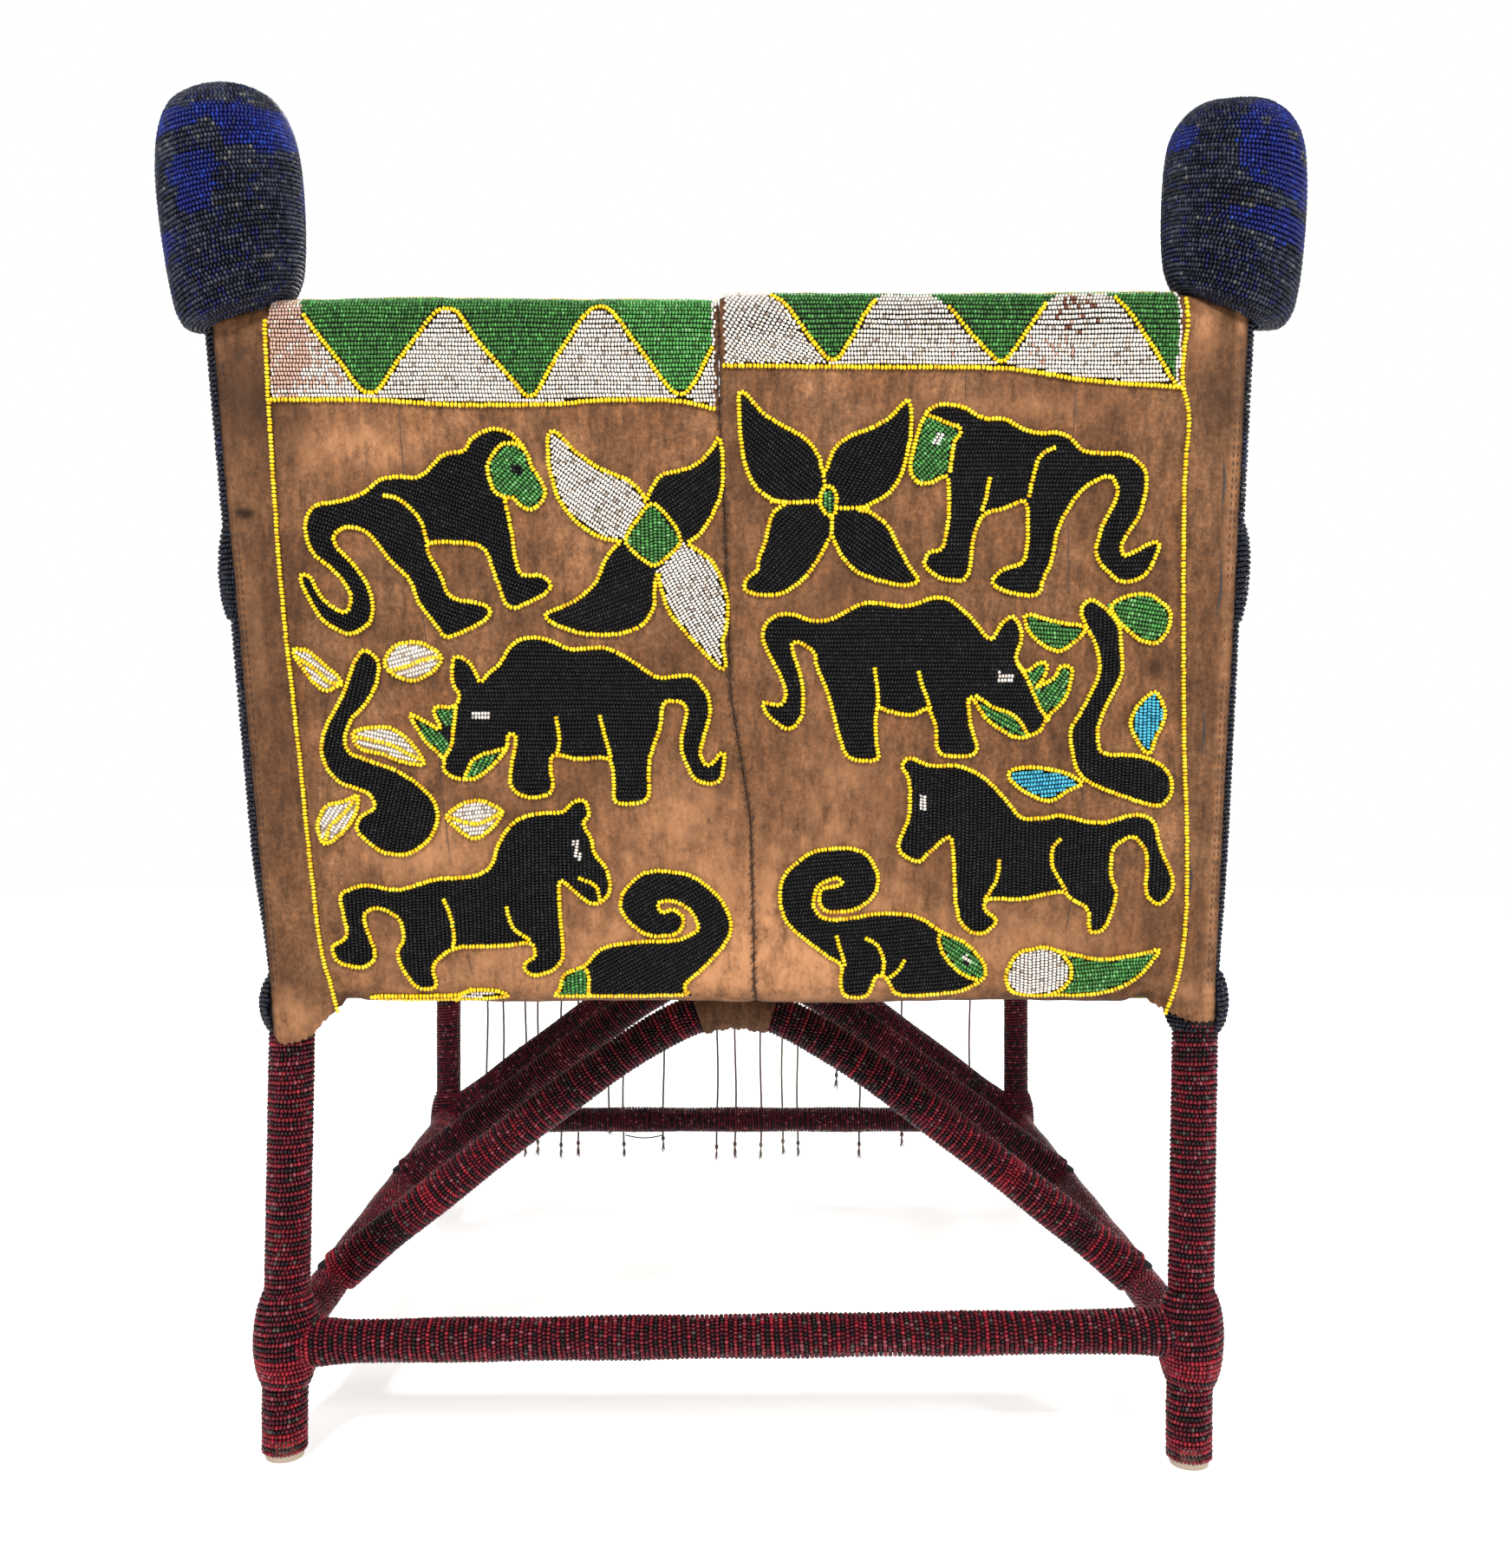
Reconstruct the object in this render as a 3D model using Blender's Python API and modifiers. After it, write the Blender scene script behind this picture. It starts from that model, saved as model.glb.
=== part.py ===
"""A low beaded chair: a cane frame wound with glass beads, a cloth back sewn with beaded animals, and a thread fringe.

Metres, +Z up, the floor at z = 0, and the sitter faces +Y. The frame is drawn about a point midway between the legs,
then the whole chair moves so that the origin lies on the floor below the middle of its bounding box.
"""

import math

import bmesh
import bpy
from mathutils import Matrix, Vector

MM = 0.001
GAP = 0.0003  # clearance between neighbouring pieces
BOX_MIDDLE = Vector((-0.0084, -0.0458, 0))

# Frame, as the centre lines of its poles.
REAR_Y = -0.310
FRONT_Y = 0.310
REAR_X = 0.280  # half the spacing of the rear posts at the seat
FRONT_LEFT_X = -0.3085
FRONT_RIGHT_X = 0.2765
SEAT_Z = 0.295  # where the rear posts bend
RAIL_Z = 0.300
STRETCHER_Z = 0.071
RECLINE = math.radians(9)
ARM_Z = 0.545

POST_R = 0.0141
FRONT_LEG_R = 0.0125
REAR_STRETCHER_R = 0.0134
STRETCHER_R = 0.0128
RAIL_R = 0.0130
ARM_R = 0.0130
ARCH_R = 0.0135
END_LENGTH = 0.060
TRIMMED_R = 0.0116  # a pole's end where it is pared down to meet a thinner one

# Feet and post tops: the hand-built frame leans a little to the left.
REAR_LEFT_FOOT = (-0.285, -0.310)
REAR_RIGHT_FOOT = (0.273, -0.320)
LEFT_TOP_X = -0.298
RIGHT_TOP_X = 0.280
POST_TOP = 0.500  # distance up the back from the seat rails' centre line
FOOT_STRAIGHT = 0.030

# Arched braces under the seat.
ARCH_YS = {"rear_arch": -0.196, "middle_arch": 0.064, "front_arch": FRONT_Y}
ARCH_APEX_Z = 0.262
ARCH_SLOPE = 0.79
ARCH_BEND = 0.055
ARCH_STEPS = 9

# The back, in its own plane: x across, "up" along the posts, "out" towards the rear.
BACK_HEIGHT = 0.403
COVER_T = 0.003
COVER_IN = POST_R + GAP
COVER_OUT = COVER_IN + COVER_T
BEADWORK_IN = COVER_OUT + GAP
BEADWORK_T = 0.0018
TOP_RAIL_UP = BACK_HEIGHT - COVER_OUT
TOP_RAIL_R = 0.012
FOLD_UP = (RAIL_Z - SEAT_Z) / math.cos(RECLINE)  # the lower rail's distance up the back
FOLD_X = 0.2590  # the cloth folds over the rails between these
JOIN_X = 0.2680  # beyond this it wraps the posts instead
CORNER_FLAPS = (0.037, 0.017)  # how far the left and right lower corners hang below the seat
HEM_ANGLE = math.radians(32)  # how far round the posts the cloth reaches
SEAM = ((-0.02, 0.0075), (0.11, 0.0040), (0.28, -0.0107), (0.40, -0.0142))  # up, x

BORE_CLEARANCE = 0.001
FINIALS = (  # name, side, distance up the back, height, slope of its lower edge, which rises towards the middle
    ("left_finial", -1, 0.3960, 0.1250, 0.33),
    ("right_finial", 1, 0.3985, 0.1150, 0.38),
)
FINIAL_PROFILE = (  # radius, share of the height
    (0.0240, 0.00),
    (0.0325, 0.03),
    (0.0370, 0.11),
    (0.0393, 0.25),
    (0.0404, 0.43),
    (0.0404, 0.62),
    (0.0385, 0.77),
    (0.0350, 0.86),
    (0.0285, 0.935),
    (0.0180, 0.985),
    (0.0000, 1.00),
)

DECK_Z = 0.2798
DECK_T = 0.0045
PAD_TOP_Z = 0.322
PAD_EDGE = 0.012
SEAT_INSET = RAIL_R + 0.0025  # from the seat rails' centre lines to the seat's edges
BACK_PAD_FRONT = 0.024  # how far the back's padding stands in front of the posts' centre lines
BACK_PAD_EDGE = 0.010
BACK_PAD_ABOVE_SEAT = 0.006
CLEAR = 0.002  # room left round the pads

LASHING_HALF = 0.028
SEAT_LASHING_HALF = 0.021
LASHING_SWELL = 0.0055
LASHING_OUT = 0.0085  # how far behind the posts' centre lines a lashing may reach under the cloth
SEAT_LASHING_UP = -0.020
ARM_LASHING_UP = 0.251
CLOTH_CUTTER = Vector((0.06, 0.03, 0.12))

HEADER_Y = (FRONT_Y + RAIL_R + 0.0004, FRONT_Y + RAIL_R + 0.0060)
HEADER_Z = (0.276, 0.306)
HEADER_X = (-0.288, 0.256)
THREAD_Y = 0.3317
THREAD_TOP_Z = 0.302
THREAD_R = 0.0010
TIP_R = 0.0019
TIP_LENGTH = 0.022
# Each thread hangs doubled: x and lower end of its first leg, then of its second.
FRINGE = (
    ((-0.2726, 0.026), (-0.2558, 0.024)),
    ((-0.2322, 0.024), (-0.2190, 0.026)),
    ((-0.1950, 0.023), (-0.1778, 0.025)),
    ((-0.1451, 0.048), (-0.1300, 0.024)),
    ((-0.0882, 0.030), (-0.0320, 0.021)),
    ((-0.0130, 0.024), (0.0135, 0.023)),
    ((0.0360, 0.027), (0.0520, 0.025)),
    ((0.0925, 0.096), (0.1170, 0.024)),
    ((0.1614, 0.034), (0.2321, 0.060)),
)

# Beaded figures on the back, outlined in millimetres: across, up.
FIGURES = {
    "left_monkey": [
        (-143, 333), (-135, 331), (-128, 325), (-124, 318), (-122, 311), (-117, 304), (-114, 297), (-116, 292),
        (-120, 288), (-125, 287), (-130, 290), (-133, 294), (-138, 294), (-137, 287), (-134, 272), (-133, 260),
        (-130, 249), (-117, 250), (-111, 243), (-120, 236), (-128, 233), (-133, 230), (-139, 232), (-144, 247),
        (-149, 263), (-155, 268), (-184, 269), (-184, 263), (-176, 249), (-172, 236), (-151, 233), (-147, 228),
        (-153, 222), (-168, 215), (-175, 213), (-181, 222), (-190, 233), (-194, 247), (-205, 257), (-218, 275),
        (-231, 278), (-239, 272), (-237, 266), (-226, 255), (-219, 244), (-216, 230), (-219, 221), (-231, 214),
        (-247, 223), (-257, 242), (-259, 250), (-253, 250), (-247, 236), (-233, 226), (-228, 237), (-235, 249),
        (-252, 263), (-255, 279), (-249, 290), (-232, 292), (-220, 296), (-211, 304), (-202, 306), (-189, 305),
        (-183, 308), (-173, 319), (-160, 320), (-157, 327), (-150, 331),
    ],
    "left_flower": [
        (-57, 291), (-54, 298), (-48, 307), (-38, 309), (-30, 311), (-24, 315), (-17, 323), (-14, 329), (-12, 319),
        (-12, 298), (-18, 284), (-26, 272), (-34, 268), (-20, 260), (-13, 248), (-9, 233), (-10, 218), (-13, 210),
        (-10, 197), (-13, 194), (-22, 203), (-33, 215), (-44, 228), (-49, 244), (-50, 252), (-52, 244), (-52, 231),
        (-59, 220), (-73, 215), (-94, 215), (-111, 221), (-118, 227), (-101, 233), (-90, 241), (-85, 247),
        (-81, 258), (-75, 266), (-70, 269), (-84, 271), (-97, 280), (-107, 292), (-112, 310), (-113, 328),
        (-109, 333), (-98, 321), (-85, 311), (-66, 304), (-58, 296),
    ],
    "left_rhino": [
        (-171, 202), (-166, 202), (-160, 198), (-155, 186), (-151, 192), (-144, 197), (-135, 211), (-123, 214),
        (-114, 212), (-102, 206), (-93, 207), (-81, 208), (-66, 200), (-51, 189), (-38, 191), (-29, 191), (-20, 178),
        (-20, 167), (-27, 144), (-21, 136), (-14, 145), (-11, 145), (-13, 129), (-20, 126), (-30, 129), (-37, 145),
        (-37, 155), (-33, 171), (-37, 176), (-48, 176), (-49, 161), (-57, 140), (-56, 115), (-78, 114), (-77, 127),
        (-79, 143), (-98, 141), (-114, 145), (-115, 136), (-113, 121), (-125, 118), (-135, 120), (-140, 128),
        (-134, 156), (-140, 157), (-140, 147), (-153, 134), (-158, 129), (-174, 130), (-179, 136), (-177, 141),
        (-189, 152), (-199, 170), (-189, 164), (-178, 158), (-185, 173), (-170, 172), (-167, 180), (-172, 186),
    ],
    "left_ladle": [
        (-223, 207), (-216, 202), (-214, 196), (-217, 184), (-224, 173), (-232, 166), (-237, 154), (-235, 145),
        (-224, 141), (-207, 135), (-194, 127), (-184, 116), (-182, 106), (-188, 92), (-202, 83), (-218, 85),
        (-230, 96), (-232, 101), (-229, 107), (-219, 112), (-222, 120), (-228, 123), (-241, 127), (-248, 135),
        (-251, 147), (-248, 160), (-236, 180), (-229, 199),
    ],
    "left_horse": [
        (-99, 117), (-94, 116), (-92, 107), (-97, 103), (-91, 93), (-90, 84), (-82, 75), (-80, 61), (-87, 53),
        (-94, 54), (-102, 61), (-112, 70), (-111, 45), (-109, 20), (-115, 12), (-128, 8), (-134, 13), (-132, 18),
        (-126, 20), (-128, 30), (-145, 27), (-176, 27), (-190, 15), (-186, 1), (-199, 0), (-209, 16), (-210, 25),
        (-205, 31), (-207, 45), (-221, 52), (-231, 47), (-222, 20), (-231, 13), (-246, 16), (-251, 27), (-239, 32),
        (-243, 54), (-243, 60), (-228, 66), (-208, 61), (-186, 69), (-162, 70), (-151, 76), (-147, 91), (-138, 104),
        (-125, 109), (-108, 109), (-105, 113),
    ],
    "left_curl_tail": [
        (-97, 14), (-87, 26), (-67, 30), (-41, 30), (-29, 36), (-27, 39), (-32, 50), (-43, 56), (-53, 54), (-50, 47),
        (-43, 51), (-35, 44), (-40, 34), (-58, 33), (-71, 43), (-75, 51), (-73, 61), (-62, 72), (-51, 74), (-30, 71),
        (-14, 57), (-7, 42), (-10, 30), (-23, 15), (-38, 2), (-32, -5), (-117, -5), (-112, 0), (-110, 10),
    ],
    "left_egg": [(-230, -5), (-176, -5), (-166, 0), (-157, 0), (-149, -1), (-142, -5), (-176, -8), (-222, -8)],
    "right_flower": [
        (-2, 354), (2, 352), (11, 341), (25, 333), (35, 328), (43, 319), (46, 306), (48, 311), (52, 322), (61, 329),
        (71, 332), (83, 338), (94, 350), (96, 344), (96, 327), (91, 306), (84, 296), (71, 289), (65, 287), (73, 286),
        (84, 278), (90, 265), (98, 252), (103, 246), (93, 243), (77, 247), (64, 252), (55, 263), (51, 274), (46, 263),
        (36, 248), (22, 238), (7, 238), (0, 241), (1, 247), (9, 253), (8, 257), (13, 270), (16, 285), (25, 291),
        (17, 292), (6, 300), (0, 314), (-2, 330), (-3, 350),
    ],
    "right_monkey": [
        (114, 347), (127, 345), (137, 338), (150, 339), (161, 332), (171, 330), (179, 331), (187, 329), (196, 319),
        (211, 319), (221, 319), (231, 311), (233, 303), (230, 285), (219, 268), (220, 261), (223, 261), (238, 269),
        (242, 268), (237, 254), (231, 247), (219, 245), (207, 256), (204, 264), (208, 279), (217, 296), (213, 306),
        (207, 306), (194, 298), (182, 278), (179, 256), (175, 249), (172, 237), (155, 239), (143, 245), (150, 253),
        (163, 256), (165, 270), (164, 294), (152, 288), (138, 285), (133, 272), (131, 246), (115, 247), (104, 255),
        (107, 263), (116, 264), (119, 285), (118, 308), (108, 302), (100, 302), (95, 310), (101, 335), (106, 344),
    ],
    "right_rhino": [
        (11, 217), (13, 222), (20, 227), (29, 227), (39, 223), (50, 223), (68, 233), (76, 234), (95, 231), (111, 237),
        (120, 236), (133, 225), (145, 210), (151, 222), (158, 227), (164, 215), (159, 201), (165, 192), (176, 200),
        (179, 196), (176, 188), (171, 183), (184, 190), (186, 197), (194, 196), (191, 178), (178, 165), (176, 158),
        (166, 154), (158, 155), (143, 165), (135, 178), (132, 178), (134, 162), (139, 148), (136, 143), (119, 143),
        (114, 147), (114, 160), (109, 173), (100, 167), (84, 170), (78, 174), (78, 152), (81, 140), (61, 141),
        (55, 160), (50, 180), (42, 198), (42, 204), (33, 211), (27, 210), (35, 187), (35, 167), (27, 158), (14, 167),
        (10, 176), (21, 173), (25, 178), (24, 186), (11, 211),
    ],
    "right_club": [
        (203, 236), (212, 230), (220, 221), (222, 203), (223, 192), (213, 172), (209, 160), (210, 147), (215, 144),
        (234, 144), (247, 139), (254, 131), (255, 121), (249, 113), (241, 114), (212, 124), (198, 132), (192, 158),
        (199, 169), (210, 192), (208, 207), (197, 226), (198, 233),
    ],
    "right_horse": [
        (98, 143), (110, 137), (128, 138), (144, 130), (158, 115), (165, 105), (181, 106), (189, 108), (212, 102),
        (234, 109), (245, 105), (249, 88), (259, 67), (254, 55), (248, 53), (241, 60), (242, 84), (235, 94), (230, 95),
        (220, 88), (220, 70), (225, 60), (218, 37), (208, 35), (208, 51), (197, 56), (192, 62), (167, 56), (146, 57),
        (144, 50), (154, 43), (146, 35), (138, 35), (128, 44), (125, 93), (122, 95), (110, 84), (105, 78), (94, 84),
        (92, 90), (99, 106), (99, 129), (93, 138),
    ],
    "right_curl_tail": [
        (119, 36), (105, 46), (84, 48), (56, 43), (46, 45), (41, 52), (44, 65), (56, 70), (60, 66), (56, 64), (46, 63),
        (45, 53), (50, 48), (68, 49), (80, 60), (81, 72), (74, 84), (62, 88), (40, 86), (23, 71), (21, 55), (26, 40),
        (50, 21), (60, 16), (58, 3), (62, -5), (75, -5), (80, 10), (87, 7), (93, -5), (132, -2), (146, 6), (147, 15),
        (135, 29),
    ],
    "right_egg": [
        (158, 8), (165, 23), (182, 27), (193, 23), (218, 18), (244, 23), (253, 26), (241, 9), (231, 2), (210, -4),
        (173, -5), (162, -2),
    ],
}

# Lower edges of the two beaded borders along the top of the back, in millimetres: across, up.
LEFT_BORDER = ((-271, 348), (-207, 349), (-156, 347), (-69, 348), (-18, 344))
RIGHT_BORDER = ((-12, 369), (50, 369), (148, 368), (188, 361), (249, 356))

BLACK_BEADS = (0.010, 0.010, 0.012)
RED_BEADS = (0.170, 0.012, 0.028)
BLUE_BEADS = (0.010, 0.024, 0.210)
NAVY_BEADS = (0.014, 0.016, 0.030)
GREEN_BEADS = (0.050, 0.280, 0.070)
WHITE_BEADS = (0.720, 0.680, 0.640)
CLOTH = (0.260, 0.150, 0.090)
LINEN = (0.420, 0.310, 0.210)
CANE = (0.330, 0.200, 0.090)
THREAD = (0.070, 0.060, 0.060)


def clear_scene():
    for obj in list(bpy.data.objects):
        bpy.data.objects.remove(obj)


def new_collection(name):
    made = bpy.data.collections.new(name)
    bpy.context.scene.collection.children.link(made)
    return made


clear_scene()
CHAIR = new_collection("beaded_chair")
CUTTERS = new_collection("cutters")
CUTTERS.hide_render = True


def material(name, colour, roughness, metallic=0.0):
    made = bpy.data.materials.new(name)
    made.use_nodes = True
    shader = made.node_tree.nodes["Principled BSDF"]
    shader.inputs["Base Color"].default_value = (*colour, 1)
    shader.inputs["Roughness"].default_value = roughness
    shader.inputs["Metallic"].default_value = metallic
    return made


def settle(obj, collection, name, colour, roughness):
    """Names the object, puts it in its collection and gives it a material of its own."""
    obj.name = name
    obj.data.name = name
    for used in list(obj.users_collection):
        used.objects.unlink(obj)
    collection.objects.link(obj)
    obj.data.materials.clear()
    if collection is CUTTERS:
        obj.hide_render = True
        obj.display_type = "WIRE"
    else:
        obj.data.materials.append(material(name, colour, roughness))
    return obj


def mesh_from_curve(curve):
    """The curve's mesh, with its loose caps joined on."""
    holder = bpy.data.objects.new("holder", curve)
    bpy.context.scene.collection.objects.link(holder)
    bpy.context.view_layer.update()
    graph = bpy.context.evaluated_depsgraph_get()
    mesh = bpy.data.meshes.new_from_object(holder.evaluated_get(graph))
    bpy.data.objects.remove(holder)
    shape = bmesh.new()
    shape.from_mesh(mesh)
    bmesh.ops.remove_doubles(shape, verts=shape.verts, dist=0.00001)
    bmesh.ops.recalc_face_normals(shape, faces=shape.faces)
    shape.to_mesh(mesh)
    shape.free()
    return bpy.data.objects.new("mesh", mesh)


def pole(name, points, radii, colour=RED_BEADS, roughness=0.35, collection=None, rounding=6):
    """A round pole along the points, with a radius at each."""
    curve = bpy.data.curves.new(name, "CURVE")
    curve.dimensions = "3D"
    curve.use_fill_caps = True
    curve.bevel_depth = 1
    curve.bevel_resolution = rounding
    spline = curve.splines.new("POLY")
    spline.points.add(len(points) - 1)
    for knot, point, radius in zip(spline.points, points, radii):
        knot.co = (*point, 1)
        knot.radius = radius
    obj = settle(mesh_from_curve(curve), collection or CHAIR, name, colour, roughness)
    for face in obj.data.polygons:
        face.use_smooth = len(face.vertices) == 4
    return obj


def cut(obj, cutters):
    for cutter in cutters:
        take = obj.modifiers.new("cut_by_" + cutter.name, "BOOLEAN")
        take.operation = "DIFFERENCE"
        take.solver = "EXACT"
        take.object = cutter


POLES = {}  # each pole's points and radii, for the cutters made from it


def frame_pole(name, points, radii, cut_by=(), **looks):
    """A pole of the frame, notched round the poles that it meets."""
    POLES[name] = (points, radii)
    obj = pole(name, points, radii, **looks)
    cut(obj, [grown(other) for other in cut_by])
    return obj


def grown(name):
    """A cutter one clearance larger than the named pole, and a little longer."""
    label = "cutter_" + name
    if label in bpy.data.objects:
        return bpy.data.objects[label]
    points, radii = POLES[name]
    points = [Vector(point) for point in points]
    points[0] += (points[0] - points[1]).normalized() * GAP
    points[-1] += (points[-1] - points[-2]).normalized() * GAP
    return pole(label, points, [radius + GAP for radius in radii], collection=CUTTERS)


def back_point(x, up, out):
    """A point of the back: across, up along the posts, and out towards the rear."""
    return Vector(
        (
            x,
            REAR_Y - up * math.sin(RECLINE) - out * math.cos(RECLINE),
            SEAT_Z + up * math.cos(RECLINE) - out * math.sin(RECLINE),
        )
    )


def between(pairs, value):
    """The value read off a list of (position, value) pairs, straight between them."""
    for (low, first), (high, second) in zip(pairs, pairs[1:]):
        if value <= high or (high, second) == pairs[-1]:
            return first + (second - first) * (value - low) / (high - low)
    return pairs[-1][1]


def post_x(side, up):
    """Centre of the left (-1) or right (1) post at a distance up the back."""
    top = LEFT_TOP_X if side < 0 else RIGHT_TOP_X
    return side * REAR_X + (top - side * REAR_X) * up / POST_TOP


def posts_and_legs():
    for side, name, (foot_x, foot_y) in (
        (-1, "rear_left_post", REAR_LEFT_FOOT),
        (1, "rear_right_post", REAR_RIGHT_FOOT),
    ):
        points = [
            (foot_x, foot_y, 0),
            (foot_x, foot_y, FOOT_STRAIGHT),
            (side * REAR_X, REAR_Y, SEAT_Z),
            back_point(post_x(side, POST_TOP), POST_TOP, 0),
        ]
        frame_pole(name, points, [POST_R] * len(points))
    top = ARM_Z - ARM_R - GAP
    for name, x in (("front_left_leg", FRONT_LEFT_X), ("front_right_leg", FRONT_RIGHT_X)):
        frame_pole(name, [(x, FRONT_Y, 0), (x, FRONT_Y, top)], [FRONT_LEG_R] * 2)


def leg_point(side, z):
    """Centre of a rear leg below the seat."""
    foot_x, foot_y = REAR_LEFT_FOOT if side < 0 else REAR_RIGHT_FOOT
    share = (z - FOOT_STRAIGHT) / (SEAT_Z - FOOT_STRAIGHT)
    return (foot_x + (side * REAR_X - foot_x) * share, foot_y + (REAR_Y - foot_y) * share, z)


def stretchers():
    posts = ("rear_left_post", "rear_right_post")
    legs = ("front_left_leg", "front_right_leg")
    frame_pole(
        "rear_stretcher",
        [leg_point(-1, STRETCHER_Z), leg_point(1, STRETCHER_Z + 0.010)],
        [REAR_STRETCHER_R] * 2,
        posts,
    )
    across = [
        (FRONT_LEFT_X, FRONT_Y, STRETCHER_Z),
        (FRONT_LEFT_X + END_LENGTH, FRONT_Y, STRETCHER_Z),
        (FRONT_RIGHT_X - END_LENGTH, FRONT_Y, STRETCHER_Z),
        (FRONT_RIGHT_X, FRONT_Y, STRETCHER_Z),
    ]
    frame_pole("front_stretcher", across, [TRIMMED_R, STRETCHER_R, STRETCHER_R, TRIMMED_R], legs)
    for side, name, front_x in ((-1, "left_stretcher", FRONT_LEFT_X), (1, "right_stretcher", FRONT_RIGHT_X)):
        rear = Vector(leg_point(side, STRETCHER_Z))
        front = Vector((front_x, FRONT_Y, STRETCHER_Z - 0.001))
        points = [rear, front + (rear - front) * 0.1, front]
        met = (posts[side > 0], legs[side > 0], "rear_stretcher", "front_stretcher")
        frame_pole(name, points, [STRETCHER_R, STRETCHER_R, TRIMMED_R], met)


def side_stretcher_x(side, y):
    rear_x, rear_y, _ = leg_point(side, STRETCHER_Z)
    front_x = FRONT_LEFT_X if side < 0 else FRONT_RIGHT_X
    return rear_x + (front_x - rear_x) * (y - rear_y) / (FRONT_Y - rear_y)


def arch_points(y):
    """A pole bent once in the middle: straight on both sides of a smooth bend, down to the side stretchers."""
    left = side_stretcher_x(-1, y)
    right = side_stretcher_x(1, y)
    middle = (left + right) / 2
    half = (right - left) / 2
    full_drop = ARCH_SLOPE * (math.hypot(half, ARCH_BEND) - ARCH_BEND)
    scale = (ARCH_APEX_Z - STRETCHER_Z - 0.002) / full_drop
    points = []
    for step in range(-ARCH_STEPS, ARCH_STEPS + 1):
        across = half * math.copysign(abs(step / ARCH_STEPS) ** 1.5, step)
        drop = ARCH_SLOPE * (math.hypot(across, ARCH_BEND) - ARCH_BEND) * scale
        points.append((middle + across, y, ARCH_APEX_Z - drop))
    return points


def arches():
    for name, y in ARCH_YS.items():
        points = arch_points(y)
        radii = [ARCH_R] * len(points)
        radii[0] = radii[-1] = TRIMMED_R
        met = ["left_stretcher", "right_stretcher"]
        if y == FRONT_Y:
            met += ["front_left_leg", "front_right_leg", "front_stretcher"]
        frame_pole(name, points, radii, met)
    points = arch_points(ARCH_YS["rear_arch"])
    middle = points[ARCH_STEPS - 4 : ARCH_STEPS + 5]
    sleeve = pole("arch_binding", middle, [ARCH_R + 0.0022] * len(middle), CLOTH, 0.9)
    cut(sleeve, [grown("rear_arch")])


def seat_rails():
    posts = ("rear_left_post", "rear_right_post")
    legs = ("front_left_leg", "front_right_leg")
    rear = [back_point(side * REAR_X, FOLD_UP, 0) for side in (-1, 1)]
    frame_pole("rear_seat_rail", rear, [RAIL_R] * 2, posts, colour=NAVY_BEADS)
    front = [
        (FRONT_LEFT_X, FRONT_Y, RAIL_Z),
        (FRONT_LEFT_X + END_LENGTH, FRONT_Y, RAIL_Z),
        (FRONT_RIGHT_X - END_LENGTH, FRONT_Y, RAIL_Z),
        (FRONT_RIGHT_X, FRONT_Y, RAIL_Z),
    ]
    radii = [TRIMMED_R, RAIL_R, RAIL_R, TRIMMED_R]
    frame_pole("front_seat_rail", front, radii, legs, colour=NAVY_BEADS)
    for side, name, front_x in ((-1, "left_seat_rail", FRONT_LEFT_X), (1, "right_seat_rail", FRONT_RIGHT_X)):
        start = back_point(side * REAR_X, FOLD_UP, 0)
        end = Vector((front_x, FRONT_Y, RAIL_Z))
        points = [start, end + (start - end) * 0.1, end]
        met = (posts[side > 0], legs[side > 0], "rear_seat_rail", "front_seat_rail")
        frame_pole(name, points, [RAIL_R, RAIL_R, TRIMMED_R], met, colour=NAVY_BEADS)
    top = [back_point(post_x(side, TOP_RAIL_UP), TOP_RAIL_UP, 0) for side in (-1, 1)]
    frame_pole("back_top_rail", top, [TOP_RAIL_R] * 2, posts, colour=CANE, roughness=0.7)


def arms():
    up = (ARM_Z - SEAT_Z) / math.cos(RECLINE)
    for side, name, post, front_x in (
        (-1, "left_arm", "rear_left_post", FRONT_LEFT_X),
        (1, "right_arm", "rear_right_post", FRONT_RIGHT_X),
    ):
        points = [
            back_point(post_x(side, up), up, 0),
            (front_x, FRONT_Y - 0.03, ARM_Z),
            (front_x, FRONT_Y + 0.004, ARM_Z),
            (front_x, FRONT_Y + FRONT_LEG_R, ARM_Z),
        ]
        frame_pole(name, points, [ARM_R, ARM_R, ARM_R, ARM_R * 0.7], (post,), colour=NAVY_BEADS)


def lathe(name, profile, colour, roughness, matrix, slant, steps=20):
    """A profile of (radius, height) turned about its axis, its lower end slanted, then placed."""
    mesh = bpy.data.meshes.new(name)
    mesh.from_pydata([(r, 0, h) for r, h in profile], [(i, i + 1) for i in range(len(profile) - 1)], [])
    turned = bpy.data.objects.new(name, mesh)
    bpy.context.scene.collection.objects.link(turned)
    screw = turned.modifiers.new("turn", "SCREW")
    screw.steps = screw.render_steps = steps
    screw.use_merge_vertices = True
    screw.merge_threshold = 0.00001
    bpy.context.view_layer.update()
    graph = bpy.context.evaluated_depsgraph_get()
    solid = bpy.data.meshes.new_from_object(turned.evaluated_get(graph))
    bpy.data.objects.remove(turned)
    height = max(h for _, h in profile)
    for vertex in solid.vertices:
        vertex.co.z += slant * vertex.co.x * (1 - vertex.co.z / height)
    shape = bmesh.new()
    shape.from_mesh(solid)
    bmesh.ops.recalc_face_normals(shape, faces=shape.faces)
    bmesh.ops.transform(shape, matrix=matrix, verts=shape.verts)
    shape.to_mesh(solid)
    shape.free()
    obj = settle(bpy.data.objects.new(name, solid), CHAIR, name, colour, roughness)
    for face in solid.polygons:
        face.use_smooth = True
    return obj


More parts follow.
